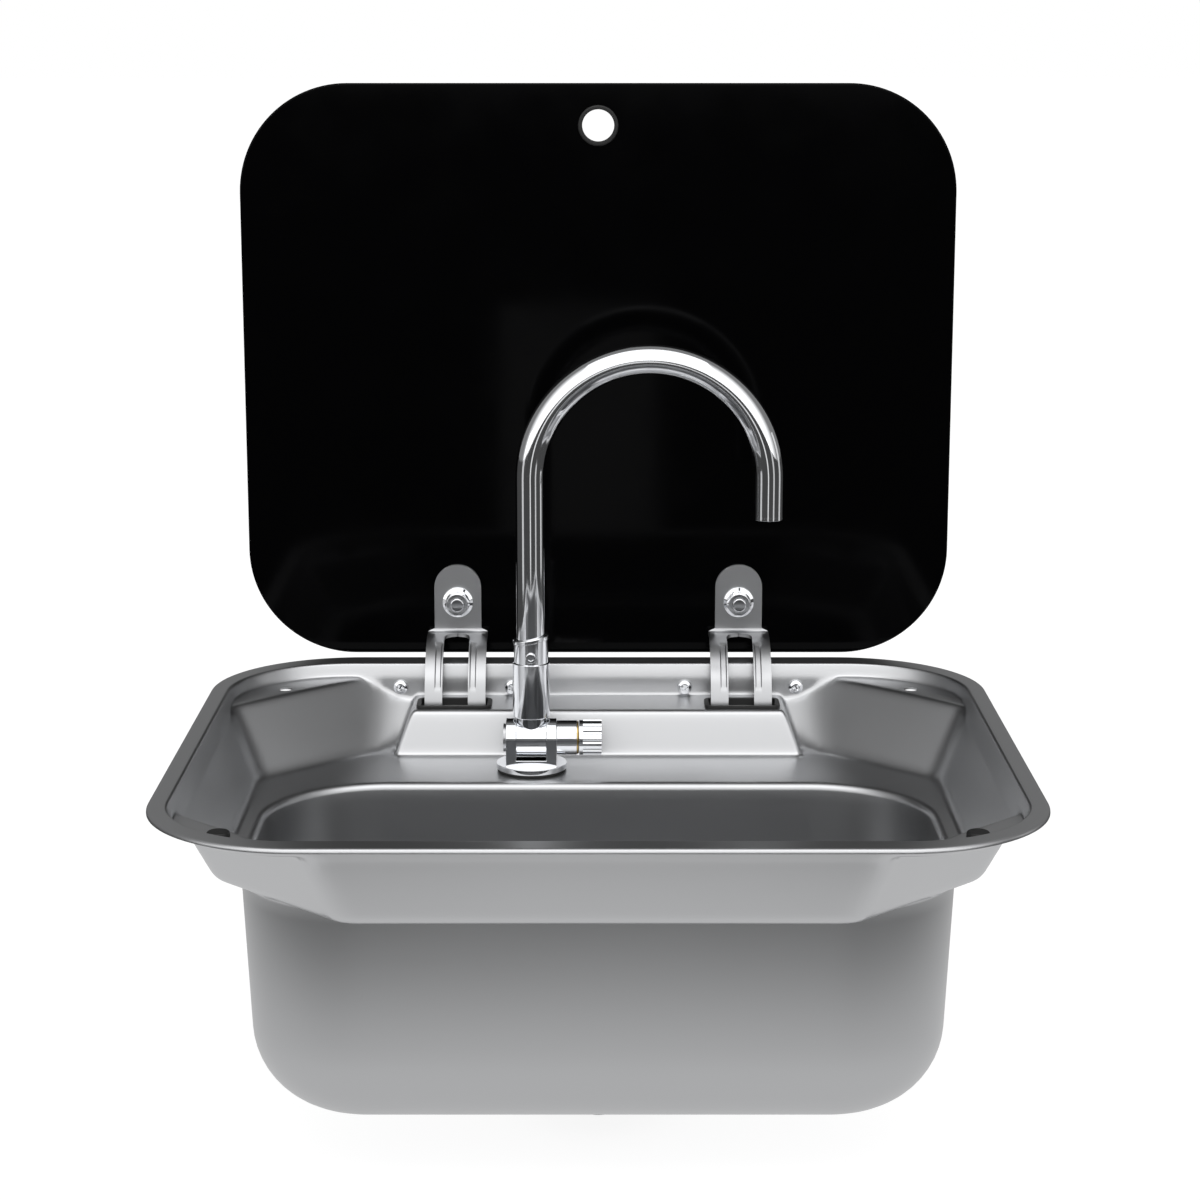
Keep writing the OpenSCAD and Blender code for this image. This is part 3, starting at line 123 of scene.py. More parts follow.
class BasinSizes(bpy.types.PropertyGroup):
    rim_width: length(
        "Rim width", "Width of the rim over everything", high("sink_basin").x - low("sink_basin").x
    )
    rim_depth: length("Rim depth", "Depth of the rim over everything", 0.370)
    rim_corner: length("Rim corner", "Plan radius of the rim's corners", 0.076)
    rim_edge: length("Rim edge", "Radius of the rolled edge", 0.0017)
    sheet: length("Sheet", "Thickness of the steel sheet", 0.001)
    side_flange: length("Side flange", "Width of the flat flange at each side", 0.0095)
    front_flange: length("Front flange", "Width of the flat flange at the front", 0.0135)
    rear_flange: length("Rear flange", "Width of the flat flange at the back", 0.017)
    mouth_corner: length("Recess corner", "Plan radius of the recess corners", 0.062)
    mouth_edge: length("Recess edge", "Radius of the edge from the flange into the recess", 0.0016)
    step_depth: length("Step depth", "Depth of the step below the flange", 0.013)
    step_run: length("Step lean", "How far the wall leans in over the step", 0.0035)
    side_slope: length("Side slope", "How far the side walls slope in below the step", 0.015)
    front_slope: length("Front slope", "How far the front wall slopes in below the step", 0.007)
    shelf_depth: length("Shelf depth", "Depth of the shelf below the flange", 0.042)
    platform_depth: length("Platform depth", "Depth of the corner platforms below the flange", 0.0075)
    platform_leg: length("Platform leg", "Length a corner platform takes from each side of the recess", 0.072)
    front_chamfer: length("Front chamfer", "How far the slope under a front platform runs in", 0.016)
    rear_chamfer: length("Rear chamfer", "How far the slope under a rear platform runs in", 0.028)
    rear_slope: length("Rear slope", "How far the slope under the back wall runs in", 0.027)
    wall_bend: length("Wall bend", "Size of the bends between the slopes and the shelf", 0.0045)
    corner_bend: length("Corner bend", "Size of the bends between the corner slopes and the walls", 0.012)
    bowl_width: length("Bowl width", "Width of the bowl's opening", 0.341)
    bowl_depth: length("Bowl depth", "Depth of the bowl's opening from front to back", 0.203)
    front_shelf: length("Front shelf", "Width of the shelf in front of the bowl", 0.026)
    floor_depth: length("Floor depth", "Depth of the bowl's floor below the flange", 0.159)
    bowl_corner: length("Bowl corner", "Plan radius of the bowl's corners", 0.060)
    bowl_draft: lean_angle("Bowl draft", "Lean of the bowl's walls", 2.7)
    floor_bend: length("Floor bend", "Radius between the walls and the floor", 0.041)
    bowl_lip: length("Bowl lip", "Radius of the lip between the shelf and the bowl", 0.004)
    ledge_width: length("Ledge width", "Width of the hinge ledge at its top", 0.206)
    ledge_depth: length("Ledge depth", "Depth of the hinge ledge below the flange", 0.018)
    ledge_side: length("Ledge side slope", "How far each end of the ledge slopes out", 0.009)
    ledge_front: length("Ledge front slope", "How far the front of the ledge slopes out", 0.007)
    ledge_margin: length("Ledge margin", "Flat width in front of the rubber slot frames", 0.0035)
    corner_hole: length("Corner hole", "Bore of the holes in the corner platforms", 0.0075)
    tap_hole: length("Tap hole", "Bore of the hole for the tap's shank", 0.0208)
    hole_inset_x: length("Hole inset across", "Distance of the corner holes from the sides", 0.0275)
    hole_inset_y: length("Hole inset along", "Distance of the corner holes from the front and back", 0.030)
    seat_width: length("Drain seat", "Diameter of the pressed seat round the drain", 0.080)
    seat_depth: length("Seat depth", "Depth of the drain seat", 0.0025)
    drain_hole: length("Drain hole", "Diameter of the drain hole", 0.052)


class LidSizes(bpy.types.PropertyGroup):
    corner: length("Glass corner", "Plan radius of the glass corners", 0.060)
    edge: length("Polished edge", "Radius of the polished edge", 0.001)
    bolt_hole: length("Bolt hole", "Bore of the holes for the clamping bolts' bushes", 0.012)
    finger_bore: length("Finger bore", "Bore of the rubber ring in the finger hole", 0.0177)
    finger_lip: length("Finger lip", "How far the lips of that ring stand proud", 0.0012)


class HingeSizes(bpy.types.PropertyGroup):
    spread: length("Hinge spread", "Distance of each hinge from the middle", 0.080)
    arm: length("Arm thickness", "Thickness of the hinge arms", 0.002)
    arm_width: length("Arm width", "Width over both legs of an arm", 0.034)
    window: length("Window width", "Width of the window between the legs", 0.0143)
    tab_width: length("Tab width", "Width of the tab on the glass", 0.0266)
    tab_reach: length("Tab reach", "Height of the tab's top above the pin", 0.0758)
    pin: length("Pin", "Diameter of the hinge pins", 0.005)
    bolt_reach: length("Bolt reach", "Height of the clamping bolt above the pin", 0.0541)
    ring: length("Ring radius", "Outer radius of the quarter ring", 0.039)
    rib: length("Rib height", "Height of the raised rib on each leg", 0.0005)
    rib_width: length("Rib width", "Width of the raised rib", 0.0052)
    screw_head: length("Screw head", "Diameter of the screw heads in the back wall", 0.0083)


class TapSizes(bpy.types.PropertyGroup):
    tube: length("Tube", "Diameter of the tube", 0.0156)
    tube_wall: length("Tube wall", "Wall of the tube", 0.0012)
    arch: length("Gooseneck", "Distance between the two ends of the gooseneck", 0.1264)
    spout_end: length("Spout end", "Height of the tube's free end above the fold axis", 0.1198)
    sleeve: length("Sleeve", "Diameter of the sleeve below its step", 0.020)
    sleeve_upper: length("Upper sleeve", "Diameter of the sleeve above its step", 0.0184)
    sleeve_step: length("Sleeve step", "Height of the sleeve's step above the fold axis", 0.042)
    sleeve_top: length("Sleeve top", "Height of the sleeve's top above the fold axis", 0.0535)
    slant: lean_angle("Collar slant", "Slant of the collar on the sleeve", 10)
    collar: length("Collar", "Diameter of the collar", 0.0194)
    collar_height: length("Collar height", "Height of the collar", 0.0023)
    screw_socket: length("Screw socket", "Size of the socket in the sleeve's screw", 0.0032)


class Finishes(bpy.types.PropertyGroup):
    steel: tint("Pressed steel", "Colour of the pressed basin", (0.55, 0.555, 0.565))
    plain_steel: tint("Plain steel", "Colour of the hinge arms and small steel pieces", (0.46, 0.465, 0.475))
    chrome: tint("Chrome", "Colour of the plated pieces", (0.80, 0.81, 0.83))
    glass: tint("Glass", "Colour of the black glass", (0.0012, 0.0012, 0.0014))
    rubber: tint("Rubber", "Colour of the seals", (0.006, 0.006, 0.006))
    white_plastic: tint("White plastic", "Colour of bushes and spacers", (0.78, 0.78, 0.75))
    grey_plastic: tint("Grey plastic", "Colour of the waste fitting", (0.16, 0.165, 0.17))
    brass: tint("Brass", "Colour of the hose tail and the valve", (0.62, 0.44, 0.16))
    blue: tint("Cap", "Colour of the cap in the knob", (0.02, 0.07, 0.30))
    floor: tint("Floor", "Colour of the floor", (0.80, 0.80, 0.80))


# Making shapes


def to_object_mode():
    """Ends any editing and clears the selection"""
    if bpy.context.object and bpy.context.object.mode != "OBJECT":
        bpy.ops.object.mode_set(mode="OBJECT")
    bpy.ops.object.select_all(action="DESELECT")


def choose(*pieces):
    """Selects pieces and makes the first one active"""
    to_object_mode()
    for piece in pieces:
        piece.select_set(True)
    bpy.context.view_layer.objects.active = pieces[0]


def joined(name, pieces):
    """Makes several shapes one piece"""
    choose(*pieces)
    if len(pieces) > 1:
        bpy.ops.object.join()
    piece = bpy.context.object
    piece.name = piece.data.name = name
    return piece


def settle(piece):
    """Puts a piece's place into its mesh"""
    choose(piece)
    bpy.ops.object.transform_apply(location=True, rotation=True, scale=True)


def copied(piece, shift):
    """A copy of a piece with its own mesh, moved to a new place"""
    choose(piece)
    bpy.ops.object.duplicate(linked=False)
    twin = bpy.context.object
    twin.location = shift
    settle(twin)
    return twin


def mirrored_pair(name, first, apart):
    """A piece and its copy on the other side of the sink, as one"""
    return joined(name, [first, copied(first, (-apart, 0, 0))])


def apply_modifiers(piece):
    """Applies every modifier of a piece"""
    choose(piece)
    for modifier in list(piece.modifiers):
        bpy.ops.object.modifier_apply(modifier=modifier.name)


def softened(piece, width, segments=2, angle=35):
    """Rounds the sharp edges of a piece"""
    bevel = piece.modifiers.new("Edges", "BEVEL")
    bevel.width = width
    bevel.segments = segments
    bevel.limit_method = "ANGLE"
    bevel.angle_limit = math.radians(angle)
    apply_modifiers(piece)


def shaded(piece, angle=35):
    """Smooth shading up to an angle, with large faces kept flat up to their rounded edges"""
    choose(piece)
    bpy.ops.object.shade_smooth_by_angle(angle=math.radians(angle))
    if piece.name.startswith("pressed_basin"):
        return
    even = piece.modifiers.new("Flat faces", "WEIGHTED_NORMAL")
    even.keep_sharp = True
    even.weight = 80
    apply_modifiers(piece)


def cut(piece, cutter):
    """Cuts one shape out of another"""
    boolean = piece.modifiers.new("Cut", "BOOLEAN")
    boolean.operation = "DIFFERENCE"
    boolean.solver = "EXACT"
    boolean.object = cutter
    apply_modifiers(piece)
    bpy.data.objects.remove(cutter)


def given_wall(piece, thickness, side):
    """Thickens a sheet: side is 0 for both ways and -1 for inwards"""
    wall = piece.modifiers.new("Wall", "SOLIDIFY")
    wall.thickness = thickness
    wall.offset = side
    wall.use_even_offset = True
    apply_modifiers(piece)


def edit_all(piece):
    """Opens a mesh for editing with all of it selected"""
    choose(piece)
    bpy.ops.object.mode_set(mode="EDIT")
    bpy.ops.mesh.select_mode(type="VERT")
    bpy.ops.mesh.select_all(action="SELECT")


def closed_up(piece):
    """Merges doubled points and turns the faces outwards"""
    edit_all(piece)
    bpy.ops.mesh.remove_doubles(threshold=1e-6)
    bpy.ops.mesh.normals_make_consistent(inside=False)
    bpy.ops.object.mode_set(mode="OBJECT")


def laid_grid(name, rows):
    """A grid whose points follow rows of places, all rows of one length"""
    to_object_mode()
    bpy.ops.mesh.primitive_grid_add(x_subdivisions=len(rows[0]) - 1, y_subdivisions=len(rows) - 1)
    piece = bpy.context.object
    piece.name = piece.data.name = name
    places = np.array(rows, np.float32).reshape(-1)
    piece.data.vertices.foreach_set("co", places)
    piece.data.update()
    return piece


def rounded(outline, steps=4):
    """Points of an outline of (x, y, corner radius), its corners laid out as arcs"""
    points = []
    for i, (x, y, radius) in enumerate(outline):
        here = Vector((x, y))
        if radius == 0:
            points.append((x, y))
            continue
        back = (Vector(outline[i - 1][:2]) - here).normalized()
        on = (Vector(outline[(i + 1) % len(outline)][:2]) - here).normalized()
        half = back.angle(on) / 2
        middle = here + (back + on).normalized() * radius / math.sin(half)
        start = here + back * radius / math.tan(half) - middle
        sweep = math.pi - 2 * half
        side = 1 if back.x * on.y - back.y * on.x < 0 else -1
        for k in range(steps + 1):
            turn = side * sweep * k / steps
            spot = middle + Matrix.Rotation(turn, 2) @ start
            points.append((spot.x, spot.y))
    return points


def turned(name, outline, at=(0, 0, 0), axis="Z", steps=48):
    """Spins a closed outline of (radius, height) round an axis"""
    to_object_mode()
    bpy.ops.mesh.primitive_circle_add(vertices=len(outline), fill_type="NOTHING")
    piece = bpy.context.object
    piece.name = piece.data.name = name
    for vertex, (radius, height) in zip(piece.data.vertices, outline):
        vertex.co = (radius, 0, height)
    edit_all(piece)
    bpy.ops.mesh.spin(steps=steps, angle=math.tau, center=(0, 0, 0), axis=(0, 0, 1))
    closed_up(piece)
    piece.rotation_euler = {"Z": (0, 0, 0), "X": (0, math.pi / 2, 0), "Y": (-math.pi / 2, 0, 0)}[axis]
    piece.location = at
    settle(piece)
    return piece


def rod(name, at, radius, depth, axis="Z", sides=48):
    """A plain cylinder, for cutting"""
    to_object_mode()
    turn = {"Z": (0, 0, 0), "X": (0, math.pi / 2, 0), "Y": (math.pi / 2, 0, 0)}[axis]
    bpy.ops.mesh.primitive_cylinder_add(
        vertices=sides, radius=radius, depth=depth, location=at, rotation=turn
    )
    piece = bpy.context.object
    piece.name = name
    settle(piece)
    return piece


def dressed(node, edge):
    """A clean copy of a piece of the frame, its edges softened"""
    to_object_mode()
    source = frame["nodes"][node]
    piece = source.copy()
    piece.data = source.data.copy()
    bpy.context.scene.collection.objects.link(piece)
    for key in list(piece.keys()):
        del piece[key]
    piece.parent = None
    piece.hide_render = piece.hide_viewport = False
    piece.name = piece.data.name = node + "_piece"
    edit_all(piece)
    bpy.ops.mesh.remove_doubles(threshold=2e-6)
    bpy.ops.mesh.dissolve_limited(angle_limit=math.radians(0.5))
    bpy.ops.object.mode_set(mode="OBJECT")
    softened(piece, edge)
    return piece


def placed(piece, body, nodes, material, angle=35):
    """Gives a finished piece its shading, finish and place on the frame"""
    shaded(piece, angle)
    piece.data.materials.clear()
    piece.data.materials.append(material)
    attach(piece, body)
    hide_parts(*nodes)


def carried_over(rows):
    """Dresses pieces of the frame: each row holds its node, body, slot, finish and edge radius"""
    for node, body, slot, finish_of, edge in rows:
        placed(dressed(node, edge), body, [node], finish_of())


# Finishes


def socket(group, name, way, value=0):
    """Adds a number's socket to a shader group"""
    made = group.interface.new_socket(name=name, in_out=way, socket_type="NodeSocketFloat")
    made.default_value = value


def worked_out(nodes, links, operation, a, b):
    """A math node on two sockets or numbers"""
    node = nodes.new("ShaderNodeMath")
    node.operation = operation
    for k, value in enumerate((a, b)):
        if isinstance(value, (int, float)):
            node.inputs[k].default_value = value
        else:
            links.new(value, node.inputs[k])
    return node.outputs[0]


def eased(nodes, links, value, start, end, low_value, high_value):
    """A smooth change from one number to another"""
    node = nodes.new("ShaderNodeMapRange")
    node.interpolation_type = "SMOOTHSTEP"
    links.new(value, node.inputs["Value"])
    numbers = {"From Min": start, "From Max": end, "To Min": low_value, "To Max": high_value}
    for key, number in numbers.items():
        node.inputs[key].default_value = number
    return node.outputs[0]


def new_group(name, inputs):
    """A shader group with numbers going in, and a roughness, a height and a shade coming out"""
    group = bpy.data.node_groups.new(name, "ShaderNodeTree")
    for key, value in inputs:
        socket(group, key, "INPUT", value)
    for key in ("Roughness", "Height", "Shade"):
        socket(group, key, "OUTPUT")
    return group, group.nodes.new("NodeGroupInput"), group.nodes.new("NodeGroupOutput")


def noise(group, vector, detail=2, roughness=0.5):
    """A noise texture on a vector"""
    texture = group.nodes.new("ShaderNodeTexNoise")
    texture.inputs["Detail"].default_value = detail
    texture.inputs["Roughness"].default_value = roughness
    group.links.new(vector, texture.inputs["Vector"])
    return texture


def roughened(group, value, given, outputs):
    """Spreads a value over the roughness that the group is given"""
    spread = group.nodes.new("ShaderNodeMapRange")
    spread.inputs["From Min"].default_value = 0.3
    spread.inputs["From Max"].default_value = 0.7
    group.links.new(value, spread.inputs["Value"])
    group.links.new(given.outputs["Low roughness"], spread.inputs["To Min"])
    group.links.new(given.outputs["High roughness"], spread.inputs["To Max"])
    group.links.new(spread.outputs["Result"], outputs.inputs["Roughness"])


def brushed_grain():
    """Shader group: fine streaks of brushed metal along x, with cloudy patches"""
    name = "Brushed grain"
    if name in bpy.data.node_groups:
        return bpy.data.node_groups[name]
    group, given, outputs = new_group(name, (
        ("Fineness", 900), ("Streak", 0.04), ("Low roughness", 0.25), ("High roughness", 0.36)
    ))
    nodes, links = group.nodes, group.links
    place = nodes.new("ShaderNodeTexCoord").outputs["Object"]
    stretch = nodes.new("ShaderNodeCombineXYZ")
    stretch.inputs["Y"].default_value = 1
    stretch.inputs["Z"].default_value = 1
    links.new(given.outputs["Streak"], stretch.inputs["X"])
    along = nodes.new("ShaderNodeVectorMath")
    along.operation = "MULTIPLY"
    links.new(place, along.inputs[0])
    links.new(stretch.outputs[0], along.inputs[1])
    streaks = noise(group, along.outputs[0], 3, 0.7)
    links.new(given.outputs["Fineness"], streaks.inputs["Scale"])
    clouds = noise(group, place, 4)
    clouds.inputs["Scale"].default_value = 14
    both = nodes.new("ShaderNodeMix")
    both.inputs["Factor"].default_value = 0.5
    links.new(streaks.outputs[0], both.inputs["A"])
    links.new(clouds.outputs[0], both.inputs["B"])
    roughened(group, both.outputs["Result"], given, outputs)
    links.new(streaks.outputs[0], outputs.inputs["Height"])
    links.new(both.outputs["Result"], outputs.inputs["Shade"])
    return group


def fine_speckle():
    """Shader group: the faint unevenness of rubber, plastic and plating"""
    name = "Fine speckle"
    if name in bpy.data.node_groups:
        return bpy.data.node_groups[name]
    group, given, outputs = new_group(name, (("Size", 400), ("Low roughness", 0.5), ("High roughness", 0.7)))
    place = group.nodes.new("ShaderNodeTexCoord").outputs["Object"]
    grains = noise(group, place)
    group.links.new(given.outputs["Size"], grains.inputs["Scale"])
    patches = noise(group, place)
    patches.inputs["Scale"].default_value = 30
    roughened(group, patches.outputs[0], given, outputs)
    group.links.new(grains.outputs[0], outputs.inputs["Height"])
    group.links.new(patches.outputs[0], outputs.inputs["Shade"])
    return group


def finish(name, colour, group, values, dark=0.9, bump=0.0, **settings):
    """A finish: one shader with plain settings, and a group that varies its colour, roughness and relief"""
    if name in bpy.data.materials:
        return bpy.data.materials[name]
    material = bpy.data.materials.new(name)
    material.use_nodes = True
    nodes, links = material.node_tree.nodes, material.node_tree.links
    shader = nodes["Principled BSDF"]
    for key, value in settings.items():
        shader.inputs[key.replace("_", " ")].default_value = value
    detail = nodes.new("ShaderNodeGroup")
    detail.node_tree = group
    for key, value in values.items():
        detail.inputs[key].default_value = value
    tone = nodes.new("ShaderNodeMix")
    tone.data_type = "RGBA"
    tone.inputs[6].default_value = (*[c * dark for c in colour], 1)
    tone.inputs[7].default_value = (*[min(1, c * (2 - dark)) for c in colour], 1)
    links.new(detail.outputs["Shade"], tone.inputs[0])
    links.new(tone.outputs[2], shader.inputs["Base Color"])
    links.new(detail.outputs["Roughness"], shader.inputs["Roughness"])
    if bump:
        relief = nodes.new("ShaderNodeBump")
        relief.inputs["Strength"].default_value = 1
        relief.inputs["Distance"].default_value = bump
        links.new(detail.outputs["Height"], relief.inputs["Height"])
        links.new(relief.outputs["Normal"], shader.inputs["Normal"])
    return material


def pressed_steel():
    """Satin steel of the basin, with painted shade below the shelf: its colour is darkened there, most just
    under the shelf's overhang, where its shadow falls
    """
    name = "Pressed steel"
    if name in bpy.data.materials:
        return bpy.data.materials[name]
    values = {"Fineness": 900, "Streak": 0.02, "Low roughness": 0.33, "High roughness": 0.37}
    colour = bpy.context.scene.sink_finishes.steel
    material = finish(name, colour, brushed_grain(), values, 0.985, 0.0000004, Metallic=1)
    nodes, links = material.node_tree.nodes, material.node_tree.links
    place = nodes.new("ShaderNodeTexCoord")
    split = nodes.new("ShaderNodeSeparateXYZ")
    links.new(place.outputs["Object"], split.inputs[0])
    height, floor, shelf = split.outputs["Z"], -0.135, -0.047
    # Painted shade: below the shelf the colour is scaled from 0.9 at the bowl's floor down to 0.7 just under
    # the shelf, and left whole above the shelf
    painted_shade_below_shelf = eased(nodes, links, height, floor, shelf, 0.9, 0.7)
    above = eased(nodes, links, height, shelf, shelf + 6 * MM, 0, 1)
    shader = nodes["Principled BSDF"]
    tone = shader.inputs["Base Color"].links[0].from_socket
    # The base colour multiplied by that painted shade
    painted_shade_colour = nodes.new("ShaderNodeVectorMath")
    painted_shade_colour.operation = "SCALE"
    links.new(tone, painted_shade_colour.inputs[0])
    links.new(worked_out(nodes, links, "MAXIMUM", painted_shade_below_shelf, above), painted_shade_colour.inputs["Scale"])
    links.new(painted_shade_colour.outputs[0], shader.inputs["Base Color"])
    return material


def brushed(name, key, streak, low_roughness, high_roughness, dark, bump):
    """A brushed metal in one of the sink's colours"""
    colour = getattr(bpy.context.scene.sink_finishes, key)
    values = {
        "Fineness": 700, "Streak": streak, "Low roughness": low_roughness, "High roughness": high_roughness
    }
    return finish(name, colour, brushed_grain(), values, dark, bump, Metallic=1)


def speckled(name, key, size, low_roughness, high_roughness, dark, bump=0.0, **settings):
    """A smooth finish in one of the sink's colours, with a faint speckle"""
    colour = getattr(bpy.context.scene.sink_finishes, key)
    values = {"Size": size, "Low roughness": low_roughness, "High roughness": high_roughness}
    return finish(name, colour, fine_speckle(), values, dark, bump, **settings)


def plain_steel():
    return brushed("Plain steel", "plain_steel", 0.1, 0.29, 0.33, 0.97, 0.0000006)


def brass():
    return brushed("Brass", "brass", 0.5, 0.25, 0.4, 0.9, 0.000003)


def chrome():
    return speckled("Chrome", "chrome", 60, 0.045, 0.085, 0.98, Metallic=1)


def black_glass():
    return speckled("Black glass", "glass", 60, 0.06, 0.10, 0.9, Specular_IOR_Level=0.05)


def black_rubber():
    return speckled("Black rubber", "rubber", 900, 0.45, 0.62, 0.8, 0.00002)


def white_plastic():
    return speckled("White plastic", "white_plastic", 700, 0.38, 0.52, 0.92, 0.00001)


def grey_plastic():
    return speckled("Grey plastic", "grey_plastic", 700, 0.38, 0.52, 0.92, 0.00001)


def blue_cap():
    return speckled("Blue cap", "blue", 300, 0.15, 0.22, 0.95)


# The pressed basin


def smooth_max(a, b, blend):
    """The larger of two heights, with a rounded corner where they cross"""
    gap = np.maximum(blend - np.abs(a - b), 0) / blend
    return np.maximum(a, b) + gap * gap * blend / 4


def smooth_min(a, b, blend):
    """The smaller of two heights, with a rounded corner where they cross"""
    return -smooth_max(-a, -b, blend)


def bell(reach, spread):
    """Weights of a bell curve, for rounding bends"""
    weights = np.exp(-0.5 * (np.arange(-reach, reach + 1) / spread) ** 2)
    return weights / weights.sum()


class Columns:
    """Lines that run from the rim to the drain, and where each of them crosses a rounded rectangle"""

    corner_steps = 28
    side_steps = 50
    front_steps = 60
    wide_step = 3 * MM
    close_step = 1.4 * MM
    close_from = 10 * MM
    outer_shares = np.array([0.05, 0.1, 0.15, 0.2, 0.25, 0.31, 0.38, 0.48, 0.6, 0.75, 0.9])

    def __init__(self, ledge_half):
        """Columns stand still behind the hinge ledge, closer together round its ends"""
        end = ledge_half + 2 * MM
        wide = np.arange(0, end - self.close_from, self.wide_step)
        close = np.arange(end - self.close_from, end + 0.1 * MM, self.close_step)
        self.inner = np.concatenate([wide, close])

    def back_x(self, half):
        """Places across a straight back edge of that half length, from right to left"""
        right = np.concatenate([self.inner, self.inner[-1] + self.outer_shares * (half - self.inner[-1])])
        return np.concatenate([[half], right[:0:-1], [0], -right[1:]])

    def contour(self, half_w, front, back, radius):
        """Points anticlockwise from the right side's front end"""
        reach_x, reach_back, reach_front = half_w - radius, back - radius, front + radius
        points = []
        for t in np.arange(self.side_steps) / self.side_steps:
            points.append((half_w, reach_front + t * (reach_back - reach_front)))
        self.corner(points, reach_x, reach_back, radius, 0)
        points.extend((x, back) for x in self.back_x(reach_x))
        self.corner(points, -reach_x, reach_back, radius, 90)
        for t in np.arange(self.side_steps) / self.side_steps:
            points.append((-half_w, reach_back - t * (reach_back - reach_front)))
        self.corner(points, -reach_x, reach_front, radius, 180)
        for t in np.arange(self.front_steps) / self.front_steps:
            points.append((-reach_x + 2 * t * reach_x, front))
        self.corner(points, reach_x, reach_front, radius, 270)
        return np.array(points)

    def corner(self, points, x, y, radius, start):
        """Adds a quarter turn that starts at an angle in degrees"""
        for k in range(self.corner_steps):
            angle = math.radians(start + 90 * k / self.corner_steps)
            points.append((x + radius * math.cos(angle), y + radius * math.sin(angle)))


class BasinShape:
    """Plan and heights of the pressed sheet's upper face"""

    ledge_corner = 5 * MM
    ledge_edge = 4.5 * MM
    ledge_foot = 3.5 * MM
    platform_edge = 3 * MM
    behind_ledge = 2 * MM
    path_step = 0.3 * MM
    blur = 1.2 * MM
    blur_reach = 12
    wide_blur = 2.6 * MM
    wide_reach = 30
    closeness = 9 * MM
    recess_rows = 54

    def __init__(self, size):
        self.size = size
        self.top = RIM_TOP
        self.platform = RIM_TOP - size.platform_depth
        self.step = RIM_TOP - size.step_depth
        self.shelf = RIM_TOP - size.shelf_depth
        self.floor = RIM_TOP - size.floor_depth
        self.ledge = RIM_TOP - size.ledge_depth
        self.half_w = size.rim_width / 2 - size.side_flange
        self.front = -size.rim_depth / 2 + size.front_flange
        self.back = size.rim_depth / 2 - size.rear_flange
        self.middle = (self.front + self.back) / 2
        self.lean_rate = size.step_run / size.step_depth
        self.bowl_front = self.front + size.step_run + size.front_slope + size.front_shelf
        self.bowl_back = self.bowl_front + size.bowl_depth
        self.ledge_front = low("slot_frames").y - size.ledge_margin
        self.columns = Columns(size.ledge_width / 2)

    def lean(self, z, deepest):
        """How far the wall has leaned in at a height"""
        return self.lean_rate * (self.top - max(z, deepest))

    def wall(self, z):
        """Outline of the recess wall at a height"""
        side = self.lean(z, self.step)
        back = self.lean(z, self.platform)
        radius = self.size.mouth_corner - self.lean(z, self.platform)
        return self.columns.contour(self.half_w - side, self.front + side, self.back - back, radius)

    def bowl(self, outward):
        """Outline of the bowl's opening moved outward"""
        size = self.size
        return self.columns.contour(
            size.bowl_width / 2 + outward,
            self.bowl_front - outward,
            self.bowl_back + outward,
            size.bowl_corner + outward,
        )

    def height(self, x, y):
        """Height of the recess floor: shelf, slopes, corner platforms and hinge ledge"""
        size, shelf = self.size, self.shelf
        x = np.abs(x)
        bend = size.wall_bend
        side_low = self.half_w - size.step_run - size.side_slope
        side = shelf + (x - side_low) * (self.step - shelf) / size.side_slope
        front_low = self.front + size.step_run + size.front_slope
        front = shelf + (front_low - y) * (self.step - shelf) / size.front_slope
        across = (x + np.abs(y - self.middle)) / math.sqrt(2)
        chord = (self.half_w + (self.back - self.front) / 2 - size.platform_leg) / math.sqrt(2)
        run = np.where(y > self.middle, size.rear_chamfer, size.front_chamfer)
        corner = shelf + (across - chord + run) * (self.platform - shelf) / run
        slopes = smooth_max(smooth_max(side, corner, size.corner_bend), front, size.corner_bend)
        ground = smooth_max(np.full_like(x, shelf), slopes, bend)
        rear_low = self.back - self.lean(self.platform, self.platform) - size.rear_slope
        rear = shelf + (y - rear_low) * (self.ledge - self.behind_ledge - shelf) / size.rear_slope
        ground = smooth_max(ground, rear, size.corner_bend)
        ledge_half = size.ledge_width / 2
        rise = self.ledge - shelf
        from_front = shelf + (y - self.ledge_front + size.ledge_front) * rise / size.ledge_front
        from_side = shelf + (ledge_half + size.ledge_side - x) * rise / size.ledge_side
        ledge = smooth_min(from_front, from_side, self.ledge_corner)
        ledge = smooth_min(ledge, np.full_like(x, self.ledge), self.ledge_edge)
        ground = smooth_max(ground, ledge, self.ledge_foot)
        return smooth_min(ground, np.full_like(x, self.platform), self.platform_edge)

    def wall_foot(self):
        """Height at which each column's wall meets the recess floor"""
        foot = np.full(len(self.wall(self.top)), self.shelf)
        found = np.zeros(len(foot), bool)
        for z in np.arange(self.top - 1.6 * MM, self.shelf, -0.2 * MM):
            ring = self.wall(z)
            meets = (self.height(ring[:, 0], ring[:, 1]) >= z) & ~found
            foot[meets] = z
            found |= meets
        return foot

    def column_path(self, wall, foot, lip):
        """One column's path down the wall and over the recess floor to the lip, its bends rounded"""
        step, reach = self.path_step, self.blur_reach
        share = np.linspace(0, 1, 500)[:, None]
        plan = foot + (lip - foot) * share
        path = np.vstack([wall, np.column_stack([plan, self.height(plan[:, 0], plan[:, 1])])])
        gone = np.concatenate([[0], np.cumsum(np.linalg.norm(np.diff(path, axis=0), axis=1))])
        places = np.linspace(0, gone[-1], max(60, int(gone[-1] / step)))
        path = np.column_stack([np.interp(places, gone, path[:, k]) for k in range(3)])
        before = path[0] + (path[0] - path[1]) * np.arange(reach, 0, -1)[:, None]
        after = path[-1] + (path[-1] - path[-2]) * np.arange(1, reach + 1)[:, None]
        path = np.vstack([before, path, after])
        kernel = bell(reach, self.blur / step)
        return np.column_stack([np.convolve(path[:, k], kernel, "valid") for k in range(3)])

